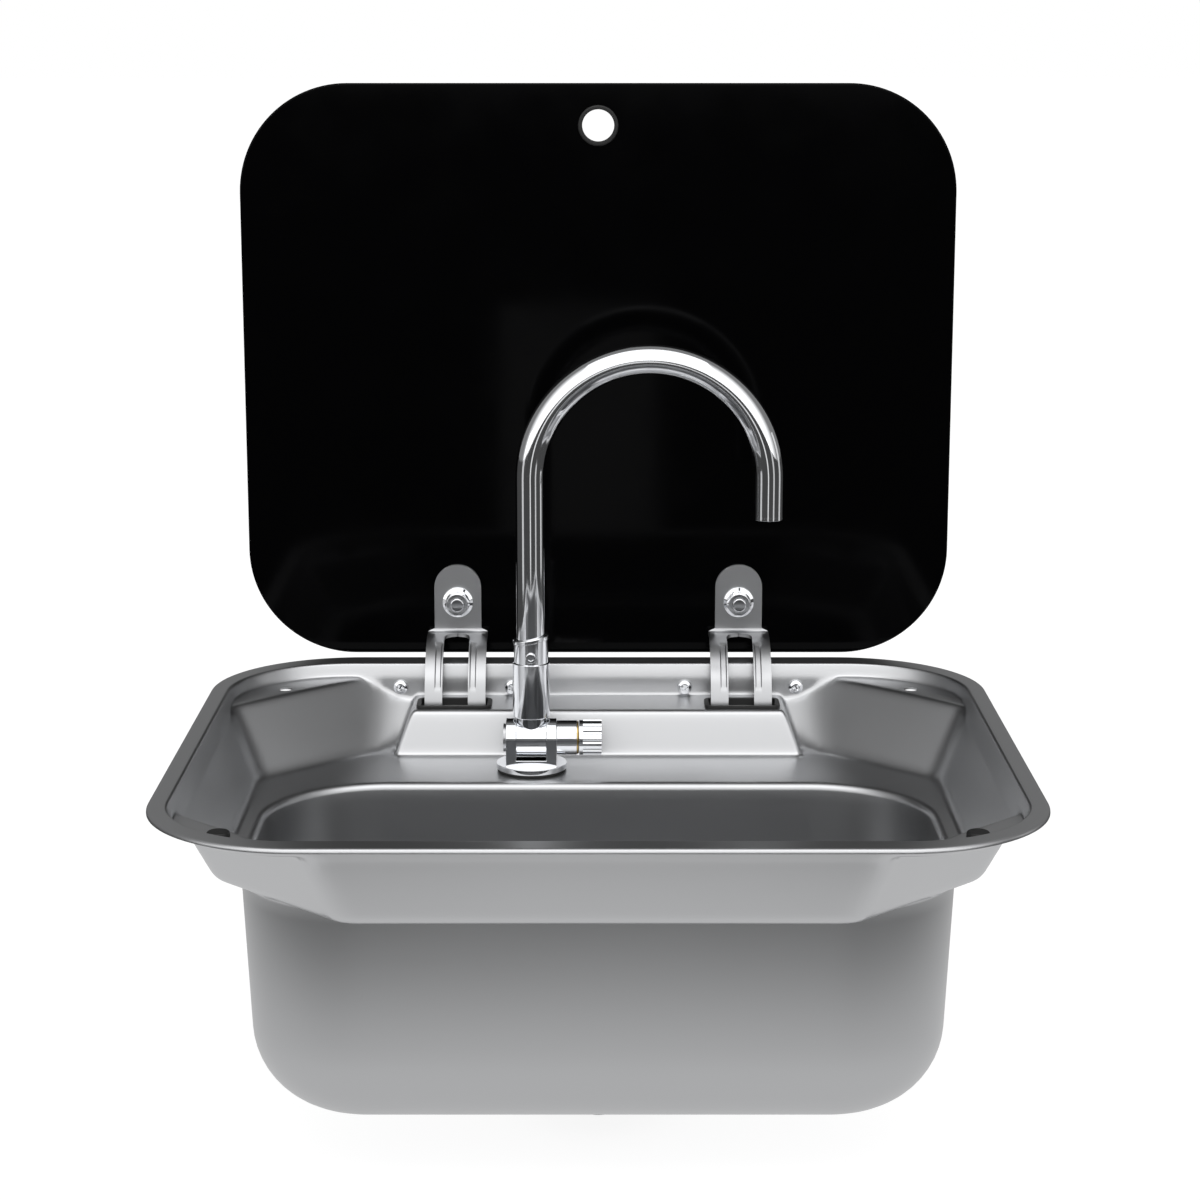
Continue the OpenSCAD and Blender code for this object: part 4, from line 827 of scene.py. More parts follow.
    def closer_at_bends(self, path, count):
        """Points of a path, closer together where it bends"""
        way = np.diff(path, axis=0)
        way /= np.linalg.norm(way, axis=1)[:, None]
        bend = np.arccos(np.clip((way[1:] * way[:-1]).sum(1), -1, 1))
        bend = np.concatenate([[0], bend, [0]]) / self.path_step
        kernel = bell(self.wide_reach, self.wide_blur / self.path_step)
        bend = np.convolve(np.pad(bend, self.wide_reach, "edge"), kernel, "valid")
        weight = 1 + self.closeness * bend
        share = np.concatenate([[0], np.cumsum((weight[1:] + weight[:-1]) / 2)])
        wanted = np.linspace(0, share[-1], count)
        return np.column_stack([np.interp(wanted, share, path[:, k]) for k in range(3)])

    def recess_rings(self):
        """Rings from the recess edge to the lip of the bowl"""
        size = self.size
        foot = self.wall_foot()
        levels = np.arange(self.top - 1.19 * MM, self.shelf - self.path_step, -self.path_step)
        walls = [self.wall(z) for z in levels]
        lip = self.bowl(size.bowl_lip * math.tan((math.pi / 2 - size.bowl_draft) / 2))
        made = np.zeros((self.recess_rows, len(foot), 3))
        for j in range(len(foot)):
            wall = np.array([(*walls[k][j], z) for k, z in enumerate(levels) if z > foot[j] + 0.1 * MM])
            path = self.column_path(wall, self.wall(foot[j])[j], lip[j])
            made[:, j] = self.closer_at_bends(path, self.recess_rows)
        return list(made)

    def rows(self):
        """All rings of the upper face, from the rim's edge to the drain hole"""
        size, top = self.size, self.top
        half_w, half_d = size.rim_width / 2, size.rim_depth / 2

        def at(ring, z):
            return np.column_stack([ring, np.full(len(ring), z)])

        def rim(inset, z):
            corner = size.rim_corner - inset
            return at(self.columns.contour(half_w - inset, inset - half_d, half_d - inset, corner), z)

        def mouth(outward, z):
            corner = size.mouth_corner + outward
            sides = self.half_w + outward, self.front - outward, self.back + outward
            return at(self.columns.contour(*sides, corner), z)

        def between(first, last, shares):
            return [first + (last - first) * share for share in shares]

        edge = size.rim_edge
        rows = [rim(0, 0), rim(0, 0.2 * MM), rim(0, top - edge)]
        for angle in np.radians([15, 30, 45, 60, 75, 90]):
            rows.append(rim(edge - edge * math.cos(angle), top - edge + edge * math.sin(angle)))
        lean = math.atan(self.lean_rate)
        r = size.mouth_edge
        reach = r * math.tan((math.pi / 2 - lean) / 2)
        rows += between(rows[-1], mouth(reach, top), (0.12, 0.4, 0.7, 0.92))
        for angle in np.linspace(math.pi / 2, lean, 6):
            rows.append(mouth(reach - r * math.cos(angle), top - r + r * math.sin(angle)))
        rows.extend(self.recess_rings()[1:-1])
        lip, draft = size.bowl_lip, size.bowl_draft
        reach = lip * math.tan((math.pi / 2 - draft) / 2)
        for angle in np.linspace(math.pi / 2, draft, 7):
            z = self.shelf - lip + lip * math.sin(angle)
            rows.append(at(self.bowl(reach - lip * math.cos(angle)), z))
        bend = size.floor_bend
        reach = bend * math.tan((math.pi / 2 - draft) / 2)
        inset = (self.shelf - self.floor) * math.tan(draft) + reach

        def foot_ring(angle):
            return at(self.bowl(bend * math.cos(angle) - inset), self.floor + bend - bend * math.sin(angle))

        rows += between(rows[-1], foot_ring(draft), (0.08, 0.25, 0.5, 0.75, 0.92))
        rows += [foot_ring(angle) for angle in np.linspace(draft, math.pi / 2, 14)]
        flat = rows[-1]
        centre = np.array([0, (self.bowl_front + self.bowl_back) / 2])
        direction = flat[:, :2] - centre
        direction /= np.linalg.norm(direction, axis=1)[:, None]

        def round_ring(radius, z):
            return at(centre + direction * radius, z)

        seat_r = size.seat_width / 2
        slope = 3 * MM
        rows += between(flat, round_ring(seat_r + slope / 2, self.floor), (0.06, 0.3, 0.6, 0.9, 1))
        for share in (0.2, 0.4, 0.6, 0.8, 1):
            drop = size.seat_depth * (1 - math.cos(math.pi * share)) / 2
            rows.append(round_ring(seat_r + slope / 2 - slope * share, self.floor - drop))
        for radius in (seat_r - 4 * MM, size.drain_hole / 2):
            rows.append(round_ring(radius, self.floor - size.seat_depth))
        return rows


class SINK_OT_basin(bpy.types.Operator):
    """Press the basin from one sheet of steel and cut its holes"""

    bl_idname = "sink.basin"
    bl_label = "Pressed basin"

    def execute(self, context):
        size = context.scene.sink_basin
        shape = BasinShape(size)
        # The slopes of the recess blend on every side, so the sheet is a grid laid along its outlines by rule
        rows = [np.vstack([ring, ring[:1]]) for ring in shape.rows()]
        basin = laid_grid("pressed_basin", rows)
        edit_all(basin)
        bpy.ops.mesh.remove_doubles(threshold=1e-6)
        bpy.ops.object.mode_set(mode="OBJECT")
        if sum(face.normal.z * face.area for face in basin.data.polygons) < 0:
            edit_all(basin)
            bpy.ops.mesh.flip_normals()
            bpy.ops.object.mode_set(mode="OBJECT")
        given_wall(basin, size.sheet, -1)
        x = shape.half_w - size.hole_inset_x
        cutters = []
        for side in (-1, 1):
            for y in (shape.front + size.hole_inset_y, shape.back - size.hole_inset_y):
                cutters.append(rod("hole", (side * x, y, shape.platform), size.corner_hole / 2, 6 * MM))
        cutters.append(rod("hole", (TAP.x, TAP.y, shape.shelf), size.tap_hole / 2, 6 * MM))
        cutters += [slot_block(side, shape.ledge) for side in (-1, 1)]
        cut(basin, joined("holes", cutters))
        placed(basin, "sink", ["sink_basin"], pressed_steel(), 40)
        return {"FINISHED"}


SLOT_GRIP = 1.2 * MM


def slot_block(side, ledge):
    """The shape of one hinge slot in the ledge, which the lips of its rubber frame grip"""
    frame_low, frame_high = low("slot_frames"), high("slot_frames")
    spread = bpy.context.scene.sink_hinges.spread
    half_w = frame_high.x - spread - SLOT_GRIP
    half_d = (frame_high.y - frame_low.y) / 2 - SLOT_GRIP
    to_object_mode()
    middle = (side * spread, (frame_low.y + frame_high.y) / 2, ledge)
    bpy.ops.mesh.primitive_cube_add(size=1, location=middle, scale=(2 * half_w, 2 * half_d, 8 * MM))
    block = bpy.context.object
    settle(block)
    bevel = block.modifiers.new("Corners", "BEVEL")
    bevel.width = 3.3 * MM
    bevel.segments = 6
    bevel.limit_method = "WEIGHT"
    upright = block.data.attributes.new("bevel_weight_edge", "FLOAT", "EDGE")
    for edge in block.data.edges:
        a, b = (block.data.vertices[v].co for v in edge.vertices)
        upright.data[edge.index].value = 1 if abs(a.z - b.z) > MM else 0
    apply_modifiers(block)
    return block


# Rim seal, bumpers and slot frames


class SINK_OT_rubber(bpy.types.Operator):
    """Shape the rim seal, the bumpers and the frames round the hinge slots"""

    bl_idname = "sink.rubber"
    bl_label = "Seals and bumpers"

    def execute(self, context):
        carried_over([("rim_seal", "sink", "black_rubber", black_rubber, 0.3 * MM)])
        placed(self.bumpers(context), "sink", ["lid_bumpers"], black_rubber(), 40)
        placed(self.slot_frames(context), "sink", ["slot_frames"], black_rubber(), 40)
        return {"FINISHED"}

    def bumpers(self, context):
        """Two mushroom bumpers, pushed into the front corner holes"""
        bottom, top = low("lid_bumpers"), high("lid_bumpers")
        size = context.scene.sink_basin
        sheet, platform = size.sheet, RIM_TOP - size.platform_depth
        radius = (top.y - bottom.y) / 2
        x, y = top.x - radius, (top.y + bottom.y) / 2
        stem = size.corner_hole / 2 - 0.1 * MM
        outline = rounded([
            (0, bottom.z - platform, 0),
            (stem - 0.6 * MM, bottom.z - platform, 0.4 * MM),
            (stem + 0.8 * MM, -sheet, 0.2 * MM),
            (stem, -sheet, 0),
            (stem, 0, 0),
            (radius, 0, 0.15 * MM),
            (radius, top.z - platform, 1.3 * MM),
            (0, top.z - platform + 0.05 * MM, 0),
        ], 6)
        return mirrored_pair("lid_bumper_pair", turned("bumper", outline, (x, y, platform)), 2 * x)

    def slot_frames(self, context):
        """A rubber profile that grips the sheet all round each slot"""
        bottom, top = low("slot_frames"), high("slot_frames")
        spread = context.scene.sink_hinges.spread
        ledge = RIM_TOP - context.scene.sink_basin.ledge_depth
        under = ledge - context.scene.sink_basin.sheet
        half_w, half_d = top.x - spread, (top.y - bottom.y) / 2
        lip, wall = SLOT_GRIP, 1.3 * MM
        profile = rounded([
            (lip + wall, bottom.z, 0),
            (lip + wall, top.z, 0.35 * MM),
            (0, top.z, 0.55 * MM),
            (0, ledge, 0.2 * MM),
            (lip, ledge, 0),
            (lip, under, 0),
            (0, under, 0.2 * MM),
            (0, bottom.z, 0.4 * MM),
        ], 4)
        corner = 4.5 * MM
        rows = []
        for inset, z in profile + profile[:1]:
            ring = []
            for quarter, (sx, sy) in enumerate([(1, 1), (-1, 1), (-1, -1), (1, -1)]):
                for k in range(9):
                    angle = math.radians(90 * quarter + 90 * k / 8)
                    ring.append((
                        sx * (half_w - corner) + (corner - inset) * math.cos(angle),
                        sy * (half_d - corner) + (corner - inset) * math.sin(angle),
                        z,
                    ))
            rows.append(ring + ring[:1])
        first = laid_grid("slot_frame", rows)
        closed_up(first)
        first.location = (spread, (top.y + bottom.y) / 2, 0)
        settle(first)
        return mirrored_pair("slot_frame_pair", first, 2 * spread)


# The lid


class SINK_OT_glass(bpy.types.Operator):
    """Cut the glass lid, with its finger hole and its two bolt holes"""

    bl_idname = "sink.glass"
    bl_label = "Glass lid"

    def execute(self, context):
        size = context.scene.sink_lid
        bottom, top = low("glass_lid"), high("glass_lid")
        middle = (bottom + top) / 2
        to_object_mode()
        bpy.ops.mesh.primitive_plane_add(
            size=1, location=(0, bottom.y, middle.z), rotation=(math.pi / 2, 0, 0)
        )
        glass = bpy.context.object
        glass.scale = (top.x - bottom.x, top.z - bottom.z, 1)
        settle(glass)
        edit_all(glass)
        bpy.ops.mesh.bevel(offset=size.corner, segments=28, affect="VERTICES", offset_type="OFFSET")
        bpy.ops.mesh.select_all(action="SELECT")
        bpy.ops.mesh.extrude_region_move(TRANSFORM_OT_translate={"value": (0, top.y - bottom.y, 0)})
        closed_up(glass)
        finger = middle_of("finger_ring")
        hole = (high("finger_ring").x - low("finger_ring").x) / 2 - 1.3 * MM
        cutters = [rod("hole", (finger.x, middle.y, finger.z), hole, 12 * MM, "Y", 64)]
        for x, z in clamp_spots():
            cutters.append(rod("hole", (x, middle.y, z), size.bolt_hole / 2, 12 * MM, "Y"))
        cut(glass, joined("holes", cutters))
        softened(glass, size.edge, 3, 60)
        glass.name = glass.data.name = "glass_panel"
        placed(glass, "lid", ["glass_lid"], black_glass(), 40)
        placed(self.finger_ring(size, finger), "lid", ["finger_ring"], black_rubber(), 40)
        return {"FINISHED"}

    def finger_ring(self, size, finger):
        """The rubber ring in the finger hole"""
        bottom, top = low("finger_ring"), high("finger_ring")
        outer = (top.x - bottom.x) / 2
        half = (top.y - bottom.y) / 2
        bore = size.finger_bore / 2
        groove = half - size.finger_lip
        outline = rounded([
            (bore, -half, 0.5 * MM),
            (outer, -half, 0.8 * MM),
            (outer, -groove, 0.1 * MM),
            (outer - 1.4 * MM, -groove, 0),
            (outer - 1.4 * MM, groove, 0),
            (outer, groove, 0.1 * MM),
            (outer, half, 0.8 * MM),
            (bore, half, 0.5 * MM),
        ], 5)
        return turned("finger_hole_ring", outline, finger, "Y", 64)


def clamp_spots():
    """Where the two clamping bolts pass through the glass"""
    hinges = bpy.context.scene.sink_hinges
    return [(side * hinges.spread, PIVOT.z + hinges.bolt_reach) for side in (-1, 1)]


class SINK_OT_clamps(bpy.types.Operator):
    """Make the bolts, nuts, washers, bushes and pads that clamp the glass"""

    bl_idname = "sink.clamps"
    bl_label = "Glass clamps"

    def execute(self, context):
        apart = 2 * context.scene.sink_hinges.spread
        placed(mirrored_pair("clamp_bolt_pair", self.bolt(), apart), "lid", ["lid_bolts"], chrome())
        placed(mirrored_pair("flange_nut_pair", self.nut(), apart), "lid", ["lid_nuts"], chrome())
        carried_over([
            ("lid_outer_washers", "lid", "black_rubber", black_rubber, 0.12 * MM),
            ("lid_inner_pads", "lid", "black_rubber", black_rubber, 0.12 * MM),
            ("lid_bushes", "lid", "white_plastic", white_plastic, 0.12 * MM),
        ])
        return {"FINISHED"}

    def bolt(self):
        """Bolt with a low domed head behind the glass"""
        front, back = low("lid_bolts"), high("lid_bolts")
        x, z = clamp_spots()[1]
        head = high("lid_outer_washers").y
        radius, shank = (back.z - front.z) / 2, 3.9 * MM
        outline = rounded([
            (0, front.y, 0),
            (shank, front.y, 0.7 * MM),
            (shank, head, 0),
            (radius, head, 0.3 * MM),
            (radius, head + 1.1 * MM, 0.9 * MM),
            (radius * 0.72, back.y, 2.5 * MM),
            (0, back.y, 0),
        ], 6)
        return turned("bolt", outline, (x, 0, z), "Y")

    def nut(self):
        """Hexagonal nut with a round flange"""
        front, back = low("lid_nuts"), high("lid_nuts")
        x, z = clamp_spots()[1]
        radius, corner, bore = (back.z - front.z) / 2, 7.2 * MM, 4.05 * MM
        to_object_mode()
        bpy.ops.mesh.primitive_cylinder_add(
            vertices=6, radius=corner, depth=back.y - front.y, location=(x, (front.y + back.y) / 2, z),
            rotation=(math.pi / 2, math.pi / 6, 0),
        )
        hexagon = bpy.context.object
        settle(hexagon)
        before, well_outside = front.y - MM, 12 * MM
        cut(hexagon, turned("chamfer", [
            (5.4 * MM, before),
            (well_outside, before),
            (well_outside, front.y + 4.6 * MM),
            (6.0 * MM, front.y - 0.05 * MM),
        ], (x, 0, z), "Y"))
        cut(hexagon, rod("bore", (x, front.y, z), bore, 40 * MM, "Y"))
        softened(hexagon, 0.18 * MM, 2, 25)
        flange = turned("flange", rounded([
            (bore, back.y, 0),
            (bore, back.y - 1.6 * MM, 0),
            (6.8 * MM, back.y - 1.9 * MM, 0.8 * MM),
            (radius, back.y - 1.0 * MM, 0.35 * MM),
            (radius, back.y, 0.15 * MM),
        ], 5), (x, 0, z), "Y")
        return joined("nut", [hexagon, flange])


# The hinges


class SINK_OT_hinges(bpy.types.Operator):
    """Bend the hinge arms and make their boxes, pins and screws"""

    bl_idname = "sink.hinges"
    bl_label = "Hinges"

    ring_back, ring_down = 12.5 * MM, 2 * MM
    pad = 0.5 * MM
    shoulder_fall = 0.63
    leg_rows = 56
    rib_from, rib_to, rib_end = 110, 160, 4
    rib_marks = (0, 0.08, 0.2, 0.8, 0.92, 1)
    rib_lifts = (0, 0, 1, 1, 0, 0, 0, 0, 0, 0)
    flat_marks = (0.25, 0.5, 0.75, 1)

    def execute(self, context):
        for side, hand in ((-1, "left"), (1, "right")):
            arm = self.arm(context, side)
            arm.name = arm.data.name = "bent_arm_" + hand
            placed(arm, "lid", ["hinge_arm_" + hand], plain_steel())
            carried_over([("hinge_box_" + hand, "sink", "steel_plain", plain_steel, 0.4 * MM)])
        carried_over([
            ("hinge_pins", "sink", "chrome", chrome, 0.15 * MM),
            ("hinge_pin_clips", "sink", "steel_plain", plain_steel, 0.15 * MM),
            ("hinge_spacers", "sink", "white_plastic", white_plastic, 0.15 * MM),
            ("hinge_screw_nuts", "sink", "steel_plain", plain_steel, 0.15 * MM),
        ])
        placed(self.screws(context), "sink", ["hinge_screws"], chrome())
        return {"FINISHED"}

    def path(self, size):
        """Middle line of an arm from tab to eye: y, z and, past the fold, the angle round the ring"""
        centre = (PIVOT.y + self.ring_back, PIVOT.z - self.ring_down)
        middle_r = size.ring - size.arm / 2
        glass_face = low("glass_lid").y
        tab_y = glass_face - self.pad - size.arm / 2
        bend = 3 * MM
        start = math.acos((tab_y - bend - centre[0]) / middle_r)
        bend_z = centre[1] + middle_r * math.sin(start) + bend
        tab_top = PIVOT.z + size.tab_reach
        half = size.tab_width / 2
        points = []
        for k in range(13):
            points.append((tab_y, tab_top - half * (1 - math.cos(math.pi / 2 * k / 12)), None))
        low_end = tab_top - half
        for k in range(1, 12):
            points.append((tab_y, low_end + (bend_z - low_end) * k / 12, None))
        for k in range(9):
            angle = -math.pi / 2 * k / 8
            points.append((tab_y - bend + bend * math.cos(angle), bend_z + bend * math.sin(angle), None))
        hook_z = PIVOT.z - size.pin / 2 - size.arm / 2
        end = math.pi - math.asin((hook_z + bend - centre[1]) / middle_r)
        for k in range(1, self.leg_rows + 1):
            angle = start + (end - start) * k / self.leg_rows
            y, z = middle_r * math.cos(angle), middle_r * math.sin(angle)
            points.append((centre[0] + y, centre[1] + z, angle))
        end_y = points[-1][0]
        for k in range(1, 9):
            turn = math.pi + math.pi / 2 * k / 8
            y, z = end_y + bend + bend * math.cos(turn), hook_z + bend + bend * math.sin(turn)
            points.append((y, z, math.pi))
        for k in range(1, 5):
            points.append((end_y + bend + (PIVOT.y - end_y - bend) * k / 4, hook_z, math.pi))
        return points, centre, tab_top

    def sections(self, size, points, centre, tab_top):
        """For each point of the path: half the width, half the window's width and the rib's height"""
        leg, tab, window = size.arm_width / 2, size.tab_width / 2, size.window / 2
        fold, shoulder = centre[1] + size.ring, leg - tab
        window_round = centre[0] - 0.6 * MM - window
        full_width = False
        for y, z, angle in points:
            drop = tab_top - z
            if not full_width and drop < tab:
                half = math.sqrt(max(0, tab * tab - (tab - drop) ** 2))
            else:
                share = min(1, max(0, (fold + shoulder / 2 - z) / (self.shoulder_fall * shoulder)))
                full_width = full_width or share >= 1
                half = leg if full_width else tab + shoulder * share
            gap = lift = 0
            if angle is not None:
                if y < window_round + window:
                    gap = math.sqrt(max(0, window ** 2 - max(0, y - window_round) ** 2))
                degrees = math.degrees(angle)
                rising = min(1, max(0, (degrees - self.rib_from) / self.rib_end))
                lift = size.rib * rising * min(1, max(0, (self.rib_to - degrees) / self.rib_end))
            yield half, gap, lift

    def arm(self, context, side):
        """Tab, fold, ribbed legs and eyes of one arm"""
        size = context.scene.sink_hinges
        points, centre, tab_top = self.path(size)
        x_mid = side * size.spread
        way = np.gradient(np.array([point[:2] for point in points]), axis=0)
        way /= np.linalg.norm(way, axis=1)[:, None]
        rows = []
        for i, (half, gap, lift) in enumerate(self.sections(size, points, centre, tab_top)):
            y, z = points[i][:2]
            outward = (way[i][1], -way[i][0])
            across = [gap + (min(size.rib_width, half - gap)) * mark for mark in self.rib_marks]
            rest = half - across[-1]
            across += [across[-1] + rest * mark for mark in self.flat_marks]
            strip = list(zip(across, self.rib_lifts))
            row = [(-a, lift * up) for a, up in strip[::-1]] + [(a, lift * up) for a, up in strip]
            rows.append([(x_mid + a, y - outward[0] * up, z - outward[1] * up) for a, up in row])
        arm = laid_grid("arm", rows)
        edit_all(arm)
        bpy.ops.mesh.select_all(action="DESELECT")
        bpy.ops.object.mode_set(mode="OBJECT")
        self.select_window(arm, len(rows[0]))
        bpy.ops.object.mode_set(mode="EDIT")
        bpy.ops.mesh.select_mode(type="FACE")
        bpy.ops.mesh.delete(type="FACE")
        closed_up(arm)
        given_wall(arm, size.arm, 0)
        softened(arm, 0.3 * MM, 2, 50)
        return joined("arm", [arm, *self.eyes(size, x_mid)])

    def select_window(self, arm, count):
        """Selects the faces between the legs, which lie across the middle of each row of points"""
        middle = {count // 2 - 1, count // 2}
        for face in arm.data.polygons:
            if middle <= {v % count for v in face.vertices}:
                across = [arm.data.vertices[v].co.x for v in face.vertices]
                face.select = max(across) - min(across) > 0.01 * MM

    def eyes(self, size, x_mid):
        """The two eyes that an arm turns on, round the pin"""
        bore, outer = size.pin / 2 + 0.06 * MM, size.pin / 2 + size.arm
        eyes = []
        for side in (-1, 1):
            near, far = sorted((side * size.window / 2, side * size.arm_width / 2))
            eyes.append(turned("eye", rounded([
                (bore, near, 0), (outer, near, 0.3 * MM), (outer, far, 0.3 * MM), (bore, far, 0)
            ], 3), (x_mid, PIVOT.y, PIVOT.z), "X", 40))
        return eyes

    def screws(self, context):
        """Four cross-head screws through the back wall"""
        front, back = low("hinge_screws"), high("hinge_screws")
        size = context.scene.sink_hinges
        radius, shank = size.screw_head / 2, 2 * MM
        z = (front.z + back.z) / 2
        face = front.y + 2.6 * MM
        first = turned("screw", rounded([
            (0, front.y, 0),
            (radius * 0.55, front.y + 0.1 * MM, 1 * MM),
            (radius, front.y + 1.0 * MM, 1.2 * MM),
            (radius, face, 0.2 * MM),
            (shank, face, 0),
            (shank, back.y, 0.4 * MM),
            (0, back.y, 0),
        ], 6), (0, 0, z), "Y", 40)
        blades = []
        for turn in (45, -45):
            to_object_mode()
            bpy.ops.mesh.primitive_cube_add(
                size=1,
                location=(0, front.y, z),
                rotation=(0, math.radians(turn), 0),
                scale=(3.9 * MM, 4.4 * MM, 0.9 * MM),
            )
            blades.append(bpy.context.object)
            settle(blades[-1])
        for blade in blades:
            cut(first, blade)
        softened(first, 0.12 * MM, 2, 40)
        apart = round(back.x - radius, 6) - size.spread
        screws = []
        for hinge in (-1, 1):
            for side in (-1, 1):
                twin = copied(first, (0, 0, 0))
                twin.data.transform(Matrix.Translation((0, 0, -z)))
                twin.rotation_euler = (0, math.radians(7 * hinge + 5 * side), 0)
                twin.location = (hinge * size.spread + side * apart, 0, z)
                settle(twin)
                screws.append(twin)
        bpy.data.objects.remove(first)
        return joined("box_screw_set", screws)


# The tap


class SINK_OT_tap(bpy.types.Operator):
    """Make the tap: foot, folding column, spout and knob"""

    bl_idname = "sink.tap"
    bl_label = "Folding tap"

    def execute(self, context):
        size = context.scene.sink_tap
        carried_over([
            ("tap_base", "sink", "chrome", chrome, 0.4 * MM),
            ("tap_gasket", "sink", "black_rubber", black_rubber, 0.3 * MM),
            ("tap_backing_washer", "sink", "steel_plain", plain_steel, 0.2 * MM),
            ("tap_nut", "sink", "steel_plain", plain_steel, 0.3 * MM),
            ("tap_inlet_tail", "sink", "brass", brass, 0.2 * MM),
            ("fold_pin", "sink", "steel_plain", plain_steel, 0.2 * MM),
            ("valve_cartridge", "sink", "brass", brass, 0.2 * MM),
            ("fold_knuckle", "tap_column", "chrome", chrome, 0.4 * MM),
            ("fold_seals", "tap_column", "black_rubber", black_rubber, 0.1 * MM),
            ("spout_seal", "tap_column", "black_rubber", black_rubber, 0.1 * MM),
            ("spout_aerator", "spout", "chrome", chrome, 0.25 * MM),
            ("control_knob", "knob", "chrome", chrome, 0.4 * MM),
            ("knob_cap", "knob", "blue_plastic", blue_cap, 0.2 * MM),
        ])
        placed(self.sleeve(size), "tap_column", ["tap_sleeve"], chrome())
        placed(self.collar(size), "tap_column", ["tap_collar"], chrome())
        placed(self.side_screw(size), "tap_column", ["sleeve_screw"], chrome())
        placed(self.spout(size), "spout", ["spout_tube"], chrome(), 40)
        return {"FINISHED"}

    def slanted(self, part, height, slope):
        """Tips the points within a height of a part's top, so that it rises towards the right"""
        to_object_mode()
        top = max(vertex.co.z for vertex in part.data.vertices)
        for vertex in part.data.vertices:
            if top - vertex.co.z < height:
                vertex.co.z += slope * (vertex.co.x - TAP.x)

    def sleeve(self, size):
        """Open sleeve with a step in its outside and a slanted top"""
        bottom, top = low("tap_sleeve"), high("tap_sleeve")
        slope = math.tan(size.slant)
        bore = size.tube / 2 + 0.25 * MM
        outer, upper = size.sleeve / 2, size.sleeve_upper / 2
        step = TAP.z + size.sleeve_step
        end = TAP.z + size.sleeve_top
        outline = [
            (bore, bottom.z), (outer - 0.4 * MM, bottom.z), (outer, bottom.z + 0.4 * MM),
            (outer, step - 0.5 * MM), (outer - 0.12 * MM, step - 0.2 * MM), (upper, step),
        ]
        outline += [(upper, step + (end - step) * k / 5) for k in range(1, 6)]
        outline += [(bore, end), (bore, step), (bore, bottom.z + 4 * MM)]
        part = turned("column_sleeve", outline, (TAP.x, TAP.y, 0), "Z", 72)
        self.slanted(part, 0.1 * MM, slope)
        softened(part, 0.12 * MM, 2, 35)
        return part

    def collar(self, size):
        """Slanted ring on the sleeve's top, round the tube"""
        slope = math.tan(size.slant)
        bore = size.tube / 2 + 0.12 * MM
        outer = size.collar / 2
        start = TAP.z + size.sleeve_top + 0.01 * MM
        end = start + size.collar_height
        outline = rounded([
            (bore, start, 0), (outer, start, 0.25 * MM), (outer, end, 0.6 * MM), (bore, end, 0.35 * MM)
        ], 4)
        part = turned("slanted_collar", outline, (TAP.x, TAP.y, 0), "Z", 72)
        self.slanted(part, 1, slope)
        return part

    def side_screw(self, size):
        """Screw in the front of the sleeve, with a hexagonal socket"""
        front, back = low("sleeve_screw"), high("sleeve_screw")
        z = (front.z + back.z) / 2
        radius = (back.z - front.z) / 2
        part = turned("socket_screw", rounded([
            (0, front.y, 0), (radius, front.y, 0.35 * MM), (radius, back.y, 0.1 * MM), (0, back.y, 0)
        ], 4), (TAP.x, 0, z), "Y", 40)
        cut(part, rod("socket", (TAP.x, front.y, z), size.screw_socket / 2, 1.8 * MM, "Y", 6))
        return part

    def spout(self, size):
        """Bent tube: straight riser, half-circle arch and a short straight end"""
        bottom, top = low("spout_tube"), high("spout_tube")
        outer = size.tube / 2
        bend = size.arch / 2
        spring = top.z - outer - bend
        to_object_mode()
        bpy.ops.mesh.primitive_circle_add(vertices=48, radius=outer, location=(TAP.x, TAP.y, bottom.z))
        tube = bpy.context.object
        settle(tube)
        edit_all(tube)
        bpy.ops.mesh.extrude_region_move(TRANSFORM_OT_translate={"value": (0, 0, spring - bottom.z)})
        bpy.ops.mesh.spin(steps=64, angle=math.pi, center=(TAP.x + bend, TAP.y, spring), axis=(0, -1, 0))
        end = TAP.z + size.spout_end
        bpy.ops.mesh.extrude_region_move(TRANSFORM_OT_translate={"value": (0, 0, end - spring)})
        closed_up(tube)
        given_wall(tube, size.tube_wall, -1)
        softened(tube, 0.2 * MM, 2, 50)
        tube.name = tube.data.name = "bent_spout"
        return tube


# The drain and the plug


class SINK_OT_drain(bpy.types.Operator):
    """Make the drain under the bowl and its lifting plug"""

    bl_idname = "sink.drain"
    bl_label = "Drain and plug"

    def execute(self, context):
        carried_over([
            ("drain_flange", "sink", "steel_plain", plain_steel, 0.3 * MM),
            ("drain_upper_gasket", "sink", "black_rubber", black_rubber, 0.2 * MM),
            ("drain_lower_gasket", "sink", "black_rubber", black_rubber, 0.2 * MM),
            ("drain_body", "sink", "grey_plastic", grey_plastic, 0.4 * MM),
            ("drain_screw", "sink", "steel_plain", plain_steel, 0.2 * MM),
            ("plug_body", "plug", "steel_plain", plain_steel, 0.3 * MM),
            ("plug_seal", "plug", "black_rubber", black_rubber, 0.2 * MM),
            ("plug_knob", "plug", "chrome", chrome, 0.3 * MM),
        ])
        return {"FINISHED"}


# The stage


FLOOR_GLOW = 1.24
FLOOR_SHARE = 0.72
MIRROR_SHARE = 0.96
DARK_FLOOR, BRIGHT_FLOOR = 0.04, 0.84
DARK_ROOM, BRIGHT_CLOTH = 0.22, 1.5
ROOM = 0.7


